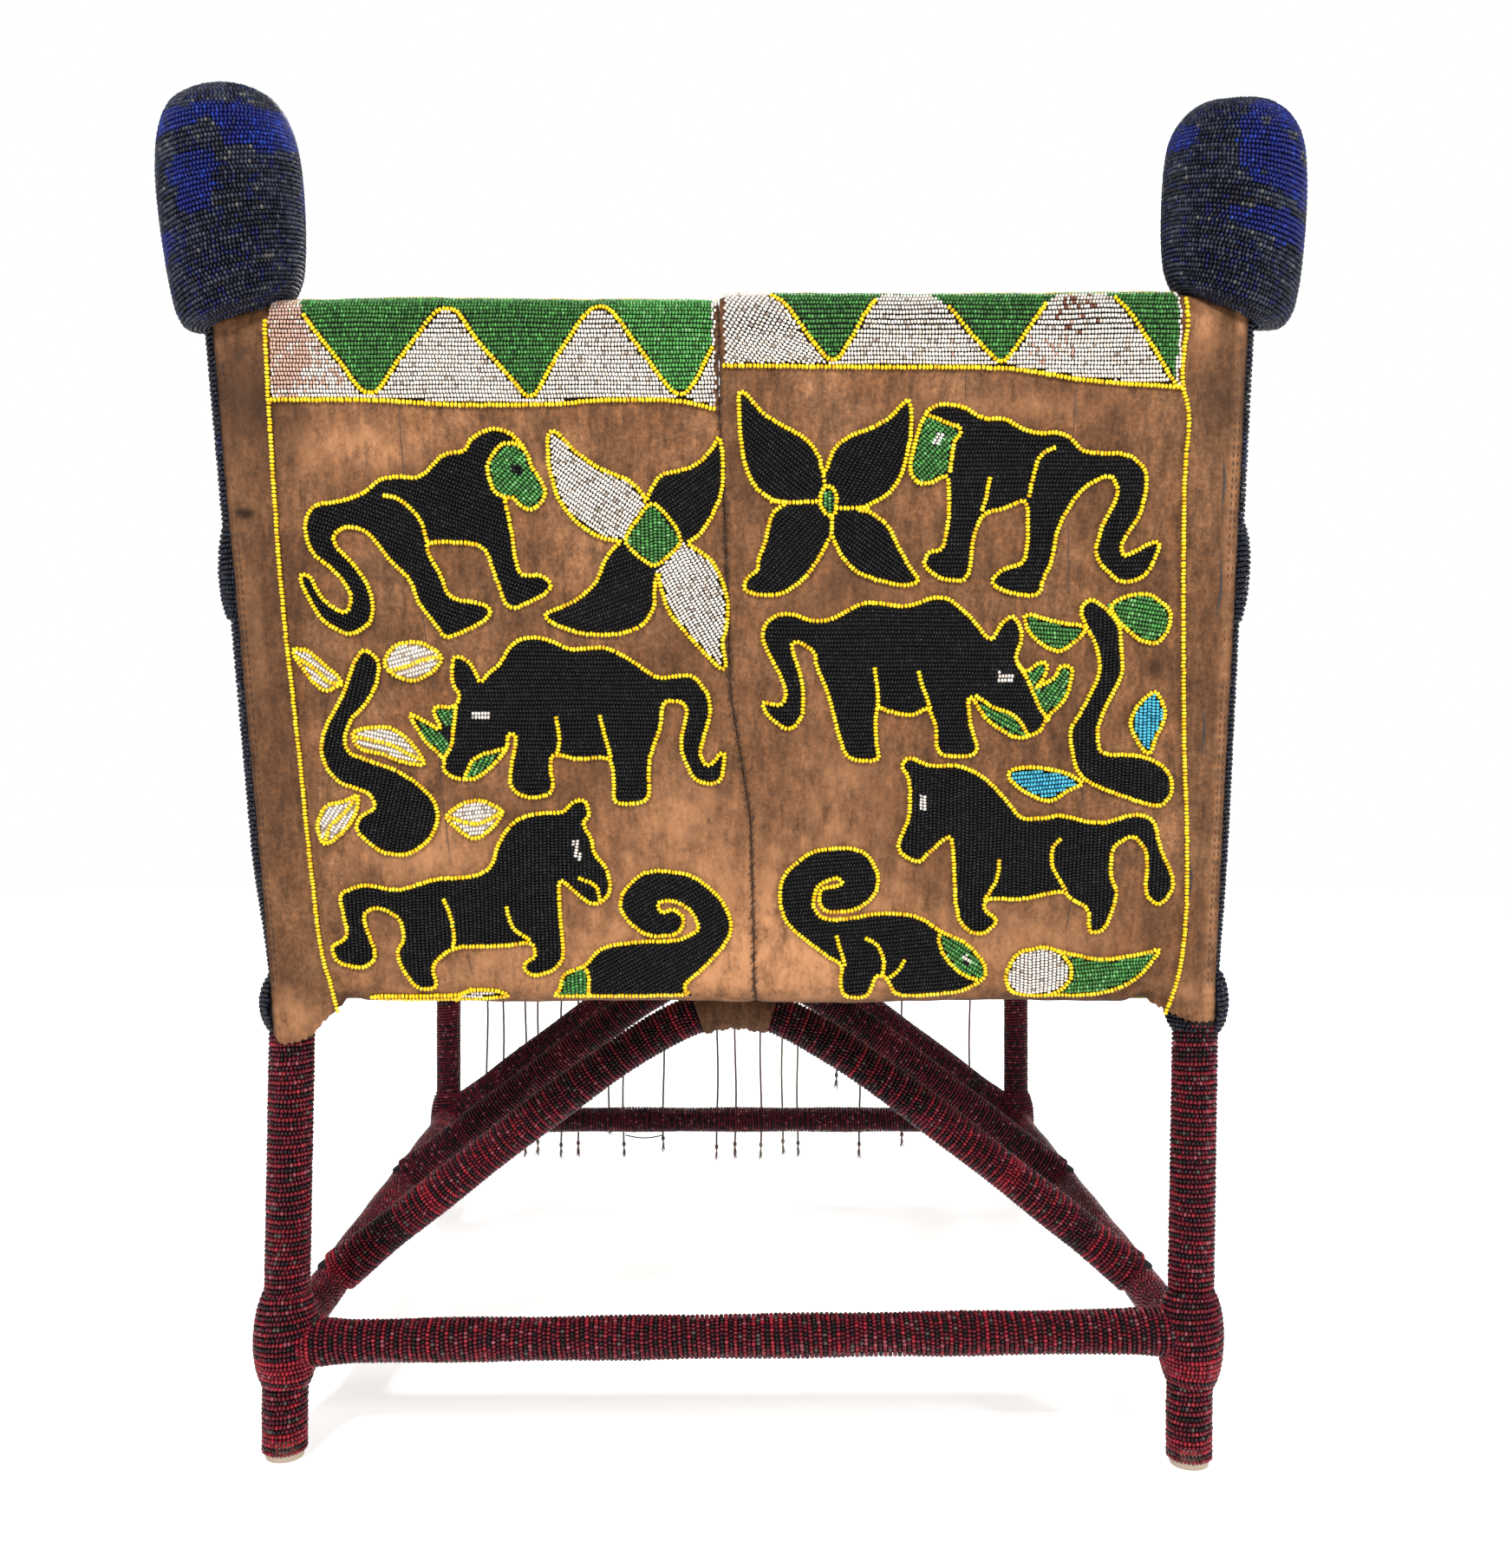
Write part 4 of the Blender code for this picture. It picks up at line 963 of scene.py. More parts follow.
def outline_of(name):
    """A flat figure's outline, in millimetres across and up the back, read from its frame node."""
    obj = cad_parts[name]
    mesh = obj.data
    outward = Vector(plane_points(0, 0, 1, origin=False))
    spots = []
    keys = {}
    loops = []
    for face in mesh.polygons:
        if face.normal.dot(outward) < 0.9:
            continue
        loop = []
        for index in face.vertices:
            point = obj.matrix_world @ mesh.vertices[index].co - Vector(ORIGIN)
            up = ((point.z - SEAT_Z) * math.cos(RECLINE) - (point.y - REAR_Y) * math.sin(RECLINE)) / MM
            key = (round(point.x / MM, 1), round(up, 1))
            if key not in keys:
                keys[key] = len(spots)
                spots.append(key)
            loop.append(keys[key])
        loops.append(loop)
    following = {a: b for a, b in single_edges(loops)}
    start = here = next(iter(following))
    loop = []
    while True:
        loop.append(spots[here])
        here = following[here]
        if here == start:
            return np.array(loop, float)


def rounded(points, closed, times=2):
    """The path with its corners cut, as a bead string turns them."""
    points = np.asarray(points, float)
    for _ in range(times):
        after = np.roll(points, -1, axis=0) if closed else points[1:]
        before = points if closed else points[:-1]
        cut = np.empty((2 * len(before), 2))
        cut[0::2] = 0.80 * before + 0.20 * after
        cut[1::2] = 0.20 * before + 0.80 * after
        points = cut if closed else np.vstack((points[:1], cut, points[-1:]))
    return points


def inside(points, outline):
    """Which points are inside a closed outline."""
    x, y = points[:, 0], points[:, 1]
    found = np.zeros(len(points), bool)
    for (x1, y1), (x2, y2) in zip(outline, np.roll(outline, -1, axis=0)):
        crosses = (y1 > y) != (y2 > y)
        if not crosses.any():
            continue
        at = x1 + (y[crosses] - y1) * (x2 - x1) / (y2 - y1)
        found[crosses] ^= x[crosses] < at
    return found


def clear_of(points, cords, distance):
    """Which points are at least a distance from every bead of the cords."""
    if not len(cords):
        return np.ones(len(points), bool)
    gap = np.full(len(points), np.inf)
    for start in range(0, len(cords), 200):
        part = cords[start : start + 200]
        gap = np.minimum(gap, ((points[:, None] - part[None]) ** 2).sum(axis=2).min(axis=1))
    return gap > distance**2


def on_back_mm(spots, lift):
    """Points on the cloth, as on_back gives them, from rows of across and up in millimetres."""
    return on_back(spots[:, 0] * MM, spots[:, 1] * MM, lift)


def sew_rows(beads, mix_at, angle, low, high, keep):
    """Rows of sewn beads at an angle (degrees) over a box, keeping those that keep() accepts."""
    turn = math.radians(angle)
    along = np.array((math.cos(turn), math.sin(turn)))
    across = np.array((-math.sin(turn), math.cos(turn)))
    middle = (low + high) / 2
    reach = np.linalg.norm(high - low) / 2
    rows = np.arange(-reach, reach, SEWN_PITCH)
    steps = np.arange(-reach, reach, SEWN_STEP)
    grid = []
    for row in rows:
        start = RANDOM.uniform(0, SEWN_STEP)
        wave = 0.25 * np.sin(steps / 13 + row / 9)
        spots = middle + (steps + start)[:, None] * along + (row + wave)[:, None] * across
        grid.append(spots + RANDOM.normal(0, 0.06, spots.shape))
    spots = np.vstack(grid)
    spots = spots[keep(spots)]
    if not len(spots):
        return
    place, outward, upward = on_back_mm(spots, SEWN_LIFT)
    direction = along[0] * np.array((1.0, 0, 0)) + along[1] * upward
    beads.string(place, direction, outward, SEWN_STEP * MM, SEWN_PITCH * MM * 0.49, mix_at(spots))


def sew_cord(beads, path, closed=False):
    """A single string of yellow beads sewn down along a path; returns where its beads lie.

    At the cloth's corners it hangs straight down from the fold over the seat rail.
    """
    path = rounded(path, closed)
    if closed:
        path = np.vstack((path, path[:1]))
    spots = resampled(path, CORD_STEP)
    ahead = np.gradient(spots, axis=0)
    if closed:
        spots, ahead = spots[:-1], ahead[:-1]
    spots = spots + RANDOM.normal(0, 0.12, spots.shape)
    below = np.maximum(0, FOLD_UP - spots[:, 1] * MM) * (np.abs(spots[:, 0]) > CORD_HANGS_X)
    place, outward, upward = on_back(spots[:, 0] * MM, spots[:, 1] * MM + below, CORD_LIFT)
    place[:, 2] -= below
    direction = ahead[:, :1] * np.array((1.0, 0, 0)) + ahead[:, 1:] * upward
    beads.string(place, direction, outward, CORD_STEP * MM, CORD_R, picks("yellow", len(spots)))
    return spots


def backing(beads, outline, colour, step=7, clear=3):
    """A thin sheet of one bead colour under sewn beads, so that no cloth shows between them."""
    low, high = outline.min(axis=0), outline.max(axis=0)
    across, up = np.meshgrid(np.arange(low[0], high[0], step), np.arange(low[1], high[1], step))
    grid = np.column_stack((across.ravel(), up.ravel()))
    grid = grid[inside(grid, outline)]
    grid = grid[clear_of(grid, outline, clear)]
    spots = [Vector(spot) for spot in np.vstack((outline, grid))]
    flat, _, tops, *_ = delaunay_2d_cdt(spots, [], [list(range(len(outline)))], 1, 0.01)
    flat = np.array([tuple(spot) for spot in flat])
    tops = np.array([list(top) for top in tops])
    sides = flat[tops[:, 1:]] - flat[tops[:, :1]]
    turned = sides[:, 0, 0] * sides[:, 1, 1] < sides[:, 0, 1] * sides[:, 1, 0]
    tops[turned] = tops[turned][:, ::-1]
    rim = single_edges(tops)
    count = len(flat)
    upper, _, _ = on_back_mm(flat, 0.0006)
    lower, _, _ = on_back_mm(flat, 0.0001)
    walls = [face for a, b in rim for face in ((b, a, a + count), (b, a + count, b + count))]
    faces = np.vstack((tops, tops[:, ::-1] + count, np.array(walls)))
    beads.add(np.vstack((upper, lower)), faces, np.full(len(faces), BEAD_NAMES.index(colour)))


def sew_figure(beads, outline, areas, cords=(), closed_cords=(), under="core"):
    """A beaded figure: yellow strings round it and inside it, and rows of beads in each of its areas.

    areas holds (mix, row angle, outline or None for all the rest), and the first area that a bead is in wins.
    """
    laid = [sew_cord(beads, path) for path in cords]
    laid += [sew_cord(beads, path, closed=True) for path in closed_cords]
    laid.append(sew_cord(beads, outline, closed=True))
    laid = np.vstack(laid)
    backing(beads, rounded(outline, True, 1), under)
    earlier = []
    for mix, angle, area in areas:
        shape = outline if area is None else np.array(area, float)
        before = list(earlier)

        def keep(spots, shape=shape, before=before):
            wanted = inside(spots, outline) & inside(spots, shape)
            for other in before:
                wanted &= ~inside(spots, other)
            wanted[wanted] = clear_of(spots[wanted], laid, 1.6)
            return wanted

        low, high = shape.min(axis=0), shape.max(axis=0)
        sew_rows(beads, lambda spots, mix=mix: picks(mix, len(spots)), angle, low, high, keep)
        earlier.append(shape)


# ---------------------------------------------------------------- figures

# Each figure's areas and inner strings: (mix, row angle, outline), in millimetres across and up the back.
LEFT_FACE = [
    (-127, 322), (-132, 325), (-140, 324), (-146, 316), (-148, 311), (-146, 303), (-144, 297), (-138, 294),
]
RIGHT_FACE = [(107, 340), (112, 338), (119, 335), (124, 334), (125, 330), (121, 326), (120, 320), (119, 309)]
CURL_EDGE = [(119, 36), (117, 32), (120, 23), (126, 15), (133, 9), (141, 6)]
FIGURES = {
    "left_monkey": dict(
        areas=[
            ("black", 0, [(-133, 313), (-127, 311), (-128, 306), (-134, 308)]),
            ("leaf", 45, [*LEFT_FACE, (-130, 284), (-114, 286), (-106, 300), (-118, 322)]),
            ("black", -20, None),
        ],
        cords=[LEFT_FACE, [(-208, 295), (-201, 294), (-195, 290), (-190, 285), (-186, 279), (-184, 269)]],
    ),
    "left_flower": dict(
        areas=[
            ("leaf", 90, [(-54, 292), (-36, 269), (-52, 254), (-69, 269)]),
            ("white", -35, [(-120, 340), (-54, 300), (-54, 290), (-69, 269), (-120, 269)]),
            ("black", 35, [(-54, 292), (-54, 340), (0, 340), (-10, 272), (-36, 269)]),
            ("black", 20, [(-125, 269), (-69, 269), (-51, 255), (-50, 205), (-125, 205)]),
            ("white", -60, None),
        ],
        closed_cords=[
            [(-54, 292), (-46, 286), (-38, 275), (-36, 268), (-43, 261), (-52, 254), (-61, 260), (-70, 269),
             (-63, 280)],
        ],
    ),
    "left_rhino": dict(
        areas=[
            ("white", 0, [(-161, 170), (-150, 169), (-150, 165), (-161, 166)]),
            ("leaf", 60, [(-141, 148), (-153, 135), (-158, 128), (-168, 128), (-162, 141), (-148, 147)]),
            ("leaf", -60, [(-170, 172), (-172, 158), (-190, 175), (-185, 175)]),
            ("leaf", -55, [(-172, 150), (-178, 142), (-205, 165), (-199, 175), (-183, 160)]),
            ("black", 0, None),
        ],
        cords=[
            [(-141, 148), (-148, 146), (-156, 144), (-162, 140), (-166, 130)],
            [(-170, 172), (-172, 158)],
            [(-172, 158), (-173, 149), (-178, 142)],
            [(-111, 166), (-110, 160), (-109, 152), (-111, 145)],
            [(-85, 167), (-84, 161), (-82, 153), (-79, 143)],
        ],
    ),
    "left_ladle": dict(areas=[("black", 75, None)]),
    "left_horse": dict(
        areas=[("white", 80, [(-103, 92), (-99, 92), (-97, 80), (-101, 80)]), ("black", 90, None)],
        cords=[
            [(-99, 69), (-94, 67), (-88, 64), (-87, 56)],
            [(-181, 56), (-178, 50), (-176, 41), (-175, 32), (-176, 27)],
            [(-143, 51), (-142, 44), (-139, 37), (-130, 31)],
        ],
    ),
    "left_curl_tail": dict(
        areas=[("leaf", 90, [(-97, 14), (-94, 9), (-95, -8), (-120, -8), (-112, 14)]), ("black", 30, None)],
        cords=[[(-97, 14), (-94, 9), (-95, -5)]],
    ),
    "left_egg": dict(
        areas=[("white", 0, [(-176, -9), (-172, -3), (-166, 1), (-150, 1), (-137, -8)]), ("leaf", 0, None)],
        cords=[[(-176, -9), (-172, -3), (-166, 0)]],
    ),
    "right_flower": dict(
        areas=[
            ("leaf", 90, [(48, 301), (54, 294), (51, 283), (44, 290)]),
            ("black", -40, [(-10, 360), (47, 360), (48, 300), (44, 291), (-10, 293)]),
            ("black", 60, [(47, 360), (110, 360), (110, 288), (54, 288), (48, 300)]),
            ("black", 45, [(-10, 293), (44, 291), (51, 283), (51, 230), (-10, 230)]),
            ("black", -35, None),
        ],
        cords=[
            [(16, 292), (27, 291), (44, 292)],
            [(54, 288), (72, 288)],
            [(46, 306), (47, 301)],
            [(51, 284), (51, 274)],
        ],
        closed_cords=[
            [(48, 301), (52, 299), (54, 294), (53, 285), (51, 283), (47, 285), (44, 290), (45, 298)],
        ],
    ),
    "right_monkey": dict(
        areas=[
            ("white", 60, [(108, 325), (112, 331), (116, 329), (111, 323)]),
            ("leaf", 45, [*RIGHT_FACE, (108, 299), (96, 300), (90, 312), (100, 340)]),
            ("black", 0, None),
        ],
        cords=[
            RIGHT_FACE,
            [(179, 322), (175, 321), (170, 317), (168, 310), (166, 301), (165, 295)],
            [(142, 305), (141, 299), (140, 293), (138, 287)],
        ],
    ),
    "right_rhino": dict(
        areas=[
            ("white", 0, [(149, 193), (159, 193), (159, 186), (149, 186)]),
            ("leaf", -30, [
                (136, 180), (139, 178), (157, 169), (164, 165), (168, 156), (164, 152), (140, 164),
            ]),
            ("leaf", 55, [(165, 191), (167, 187), (171, 180), (177, 183), (183, 199), (176, 203)]),
            ("leaf", 55, [
                (171, 180), (176, 171), (180, 165), (200, 178), (196, 200), (184, 192), (176, 184),
            ]),
            ("black", 0, None),
        ],
        cords=[
            [(137, 179), (147, 172), (157, 169), (163, 165), (168, 156)],
            [(162, 197), (167, 189), (171, 180), (175, 171), (180, 165)],
            [(77, 195), (78, 188), (79, 180), (79, 172)],
            [(103, 193), (105, 185), (108, 178), (110, 172)],
        ],
    ),
    "right_club": dict(areas=[("black", 90, None)]),
    "right_horse": dict(
        areas=[("white", 90, [(105, 120), (110, 120), (110, 111), (105, 111)]), ("black", 90, None)],
        cords=[
            [(153, 80), (153, 75), (152, 68), (148, 61), (145, 56)],
            [(189, 93), (185, 89), (184, 83), (185, 76), (189, 69), (193, 63)],
        ],
    ),
    "right_curl_tail": dict(
        areas=[
            ("white", -35, [(132, 20), (135, 22), (138, 17), (135, 15)]),
            ("leaf", -35, [*CURL_EDGE, (150, 8), (150, 20), (130, 40)]),
            ("black", 5, None),
        ],
        cords=[
            CURL_EDGE,
            [(56, 33), (58, 26), (61, 16)],
            [(74, 32), (81, 28), (85, 19), (84, 9)],
            [(97, 18), (93, 11), (87, 7)],
        ],
    ),
    "right_egg": dict(
        areas=[
            ("white", 90, [
                (181, 28), (170, 25), (162, 19), (157, 10), (158, 0), (164, -6), (187, -6), (199, 8),
                (193, 23),
            ]),
            ("leaf", 5, None),
        ],
        cords=[[(191, 24), (198, 16), (199, 8), (195, 1), (188, -4)]],
    ),
}

# Leaves beside the figures: (mix, row angle, outline, midrib).
LEFT_LEAVES = (
    (
        "white", -35,
        [(-265, 207), (-256, 206), (-246, 197), (-235, 187), (-247, 181), (-255, 189), (-264, 202)],
        [(-262, 201), (-252, 195), (-245, 187), (-237, 186)],
    ),
    (
        "white", 15,
        [(-212, 198), (-208, 206), (-202, 210), (-190, 211), (-179, 205), (-177, 200), (-183, 193),
         (-195, 187), (-207, 192)],
        [(-209, 194), (-199, 196), (-190, 200), (-180, 202)],
    ),
    (
        "white", -15,
        [(-233, 157), (-225, 160), (-210, 161), (-199, 154), (-187, 137), (-204, 140), (-215, 145),
         (-228, 147)],
        [(-231, 155), (-221, 153), (-209, 150), (-192, 141)],
    ),
    (
        "white", 55,
        [(-229, 121), (-237, 116), (-250, 114), (-256, 101), (-252, 88), (-240, 97), (-232, 107)],
        [(-251, 91), (-248, 101), (-238, 109), (-231, 119)],
    ),
    (
        "white", 5,
        [(-179, 107), (-168, 115), (-156, 117), (-143, 110), (-149, 101), (-161, 92), (-172, 100)],
        [(-177, 107), (-169, 104), (-159, 102), (-150, 106), (-144, 110)],
    ),
)
RIGHT_LEAVES = (
    (
        "leaf", -10,
        [(213, 232), (224, 238), (237, 239), (250, 229), (249, 218), (242, 209), (231, 212), (219, 223)],
        None,
    ),
    (
        "leaf", -5,
        [(163, 228), (184, 222), (201, 220), (199, 215), (187, 205), (180, 206), (170, 213), (166, 218)],
        None,
    ),
    (
        "turquoise", 90,
        [(243, 183), (250, 168), (243, 152), (241, 144), (236, 147), (227, 163), (234, 176)],
        None,
    ),
    (
        "turquoise", 5,
        [(203, 127), (190, 134), (171, 137), (158, 135), (157, 130), (166, 122), (182, 115), (193, 123)],
        None,
    ),
)

# The yellow strings down the two sides.
LEFT_EDGE = [(-272, 392), (-272, 349), (-270, 236), (-264, 150), (-261, 88), (-257, 25), (-247, -13)]
RIGHT_EDGE = [
    (252, 402), (252, 389), (251, 380), (250, 359), (256, 340), (254, 310), (256, 243), (258, 203),
    (261, 145), (265, 101), (267, 45), (264, 7), (256, -14),
]
# The borders: the zigzag string between green and white beads, and the string along the lower edge.
LEFT_ZIGZAG = [
    (-254, 405), (-250, 395), (-229, 369), (-219, 354), (-210, 352), (-199, 368), (-181, 390), (-172, 399),
    (-163, 398), (-151, 381), (-130, 358), (-125, 351), (-119, 351), (-108, 371), (-93, 392), (-85, 401),
    (-77, 400), (-66, 387), (-48, 362), (-39, 352), (-33, 352), (-27, 360), (-18, 378),
]
RIGHT_ZIGZAG = [
    (16, 405), (23, 401), (39, 382), (48, 371), (54, 371), (66, 391), (75, 402), (82, 408), (106, 408),
    (117, 398), (137, 378), (145, 370), (150, 371), (163, 390), (172, 400), (180, 408), (205, 408),
    (212, 403), (230, 383), (247, 357),
]
LEFT_HEM = [(-270, 349), (-208, 349), (-170, 346), (-111, 346), (-81, 349), (-38, 349), (-17, 344)]
RIGHT_HEM = [(-11, 368), (70, 367), (148, 367), (170, 364), (194, 360), (216, 358), (250, 356)]
BORDER_TOP = 416
EVERYWHERE = 999
STAINS = (  # on the white beads: across, up, half width, half height, mix, share
    (-266, 384, 17, 24, "stained", 2.60),
    (-245, 362, 22, 8, "stained", 0.30),
    (190, 398, 9, 8, "rust", 0.55),
    (172, 378, 14, 6, "stained", 0.25),
    (110, 380, 12, 10, "stained", 0.10),
)


def border_piece(name, zigzag, hem, left, right, hidden_above, diagonal_before, lime_after):
    """The beaded band along the top of one half: green above the zigzag, white below it.

    The zigzag's string is out of sight above one height. Rows lie at a slant before one line across, and the
    green is brighter after another.
    """
    beads = Beads()
    zigzag, hem = np.array(zigzag, float), np.array(hem, float)
    cords = [sew_cord(beads, hem), sew_cord(beads, [(left, BORDER_TOP - 2), (right, BORDER_TOP - 2)])]
    cuts = np.flatnonzero(np.diff(zigzag[:, 1] >= hidden_above).astype(bool)) + 1
    for part in np.split(zigzag, cuts):
        if part[0, 1] < hidden_above and len(part) > 1:
            cords.append(sew_cord(beads, part))
    laid = np.vstack(cords)
    outline = np.vstack((hem, [(right, hem[-1][1] + 8), (right, BORDER_TOP), (left, BORDER_TOP)]))

    def colour_of(spots):
        level = np.interp(spots[:, 0], zigzag[:, 0], zigzag[:, 1], left=500, right=500)
        green = spots[:, 1] > level
        chosen = picks("white", len(spots))
        fresh = green & (spots[:, 0] > lime_after)
        chosen[green] = picks("green", green.sum())
        chosen[fresh] = picks("lime", fresh.sum())
        for x, up, wide, high, mix, share in STAINS:
            near = ((spots[:, 0] - x) / wide) ** 2 + ((spots[:, 1] - up) / high) ** 2
            soiled = ~green & (RANDOM.random(len(spots)) < share * np.exp(-near))
            chosen[soiled] = picks(mix, soiled.sum())
        return chosen

    def keep(spots, diagonal):
        floor = np.interp(spots[:, 0], hem[:, 0], hem[:, 1])
        wanted = (spots[:, 1] > floor) & (spots[:, 1] < BORDER_TOP - 4)
        wanted &= (spots[:, 0] > left) & (spots[:, 0] < right)
        wanted &= (spots[:, 0] < diagonal_before(spots[:, 1])) == diagonal
        wanted[wanted] = clear_of(spots[wanted], laid, 1.7)
        return wanted

    low, high = outline.min(axis=0), outline.max(axis=0)
    sew_rows(beads, colour_of, 0, low, high, lambda spots: keep(spots, False))
    if diagonal_before(np.array([380.0]))[0] > left:
        sew_rows(beads, colour_of, 55, low, high, lambda spots: keep(spots, True))
    band_backing(beads, hem, left, right)
    beads.finish(name, "white_beads")


def band_backing(beads, hem, left, right):
    """The dark sheet under a border, which turns over the top rail with it."""
    across = np.linspace(left + 0.5, right - 0.5, 40)
    share = np.linspace(0, 1, 14)
    floor = np.interp(across, hem[:, 0], hem[:, 1])
    up = floor[None] + (BORDER_TOP - 3 - floor)[None] * share[:, None]
    x = np.broadcast_to(across, up.shape)
    upper, _, _ = on_back(x * MM, up * MM, 0.0005)
    lower, _, _ = on_back(x * MM, up * MM, 0.0001)
    points, faces = slab_mesh(upper, lower)
    beads.add(points, faces, np.full(len(faces), BEAD_NAMES.index("core")))


def slab_mesh(upper, lower):
    """A closed thin mesh between two grids of points."""
    rows, columns = upper.shape[:2]
    count = rows * columns
    index = np.arange(count).reshape(rows, columns)
    a, b, c, d = index[:-1, :-1], index[:-1, 1:], index[1:, 1:], index[1:, :-1]
    quads = np.stack((a, b, c, d), axis=-1).reshape(-1, 4)
    rim = np.concatenate((index[0], index[1:, -1], index[-1, -2::-1], index[-2:0:-1, 0]))
    after = np.roll(rim, -1)
    walls = np.stack((after, rim, rim + count, after + count), axis=-1)
    quads = np.vstack((quads, quads[:, ::-1] + count, walls))
    faces = np.vstack((quads[:, [0, 1, 2]], quads[:, [0, 2, 3]]))
    return np.vstack((upper.reshape(-1, 3), lower.reshape(-1, 3))), faces


def borders():
    """The two zigzag bands. Only the right one has slanted rows, and only the left one has brighter green."""
    border_piece(
        "left_border", LEFT_ZIGZAG, LEFT_HEM, -270, -16, 404.5,
        lambda up: np.full(len(up), -EVERYWHERE), -70,
    )
    border_piece(
        "right_border", RIGHT_ZIGZAG, RIGHT_HEM, -11, 249, 406,
        lambda up: 16 + (405 - up) * 0.9, EVERYWHERE,
    )


def beadwork():
    """All the beads sewn on the cloth: borders, figures, leaves and the strings down the sides."""
    borders()
    for name, style in FIGURES.items():
        beads = Beads()
        sew_figure(beads, outline_of(name), **style)
        slot = "white_beads" if name.endswith("egg") else "black_beads"
        beads.finish(name, slot)
    for word, leaves in (("left", LEFT_LEAVES), ("right", RIGHT_LEAVES)):
        beads = Beads()
        for mix, angle, outline, rib in leaves:
            cords = [rib] if rib else []
            under = "white_dirty" if mix == "white" else "core"
            sew_figure(beads, np.array(outline, float), [(mix, angle, None)], cords=cords, under=under)
        beads.finish(word + "_leaves", "white_beads", extra=True)
    beads = Beads()
    sew_cord(beads, LEFT_EDGE)
    sew_cord(beads, RIGHT_EDGE)
    beads.finish("side_strings", "white_beads", extra=True)


# ---------------------------------------------------------------- the cloth of the back

WORN = (  # across, up, half width, half height, strength: where the cloth has rubbed pale
    (-232, 323, 30, 12, 0.75),
    (-205, 318, 18, 10, 0.5),
    (-190, 85, 34, 16, 0.55),
    (-60, 60, 40, 22, 0.25),
    (-40, 110, 30, 18, 0.45),
    (60, 120, 26, 40, 0.35),
    (30, 20, 22, 16, 0.35),
    (150, 345, 70, 8, 0.3),
    (262, 392, 8, 14, 0.8),
    (-284, 210, 5, 30, 0.55),
    (-288, 330, 6, 40, 0.35),
    (-276, -22, 12, 16, 0.85),
    (268, -6, 16, 12, 0.5),
    (120, 10, 40, 14, 0.2),
    (-40, 12, 130, 26, 0.95),
    (60, 40, 70, 30, 0.45),
    (180, 30, 60, 22, 0.40),
    (-120, 60, 120, 60, 0.15),
    (14, 62, 60, 44, 0.40),
    (50, 230, 60, 30, 0.12),
)
SOILED = (  # in the same terms, where the cloth has darkened
    (-284, 190, 24, 260, 0.42),
    (282, 190, 22, 260, 0.34),
    (140, 345, 90, 16, 0.10),
    (150, 240, 60, 50, 0.12),
    (-200, 240, 60, 70, 0.18),
    (-60, 190, 50, 60, 0.15),
    (212, 300, 18, 60, 0.25),
    (242, 197, 6, 7, 0.75),
    (236, 303, 5, 6, 0.4),
    (220, 130, 14, 12, 0.35),
    (0, 340, 20, 30, 0.35),
    (-289, 285, 5, 3, 0.95),
)


LOW_FOLD, TOP_WRAP = -0.040, math.radians(150)
FLAP_X, FLAP_BLEND = 0.232, 0.018
CORNER_FLAPS = {  # millimetres outward from the post's middle, and how far the cloth hangs there
    -1: ((-40, -30, -22, -15, -6, 3, 7, 12), (12, 17.5, 25, 34, 38.5, 40, 37, 28)),
    1: ((-40, -28, -19.5, -11, -2.5, 4, 12), (9, 16, 20.5, 24.6, 25.5, 24.6, 20.5)),
}


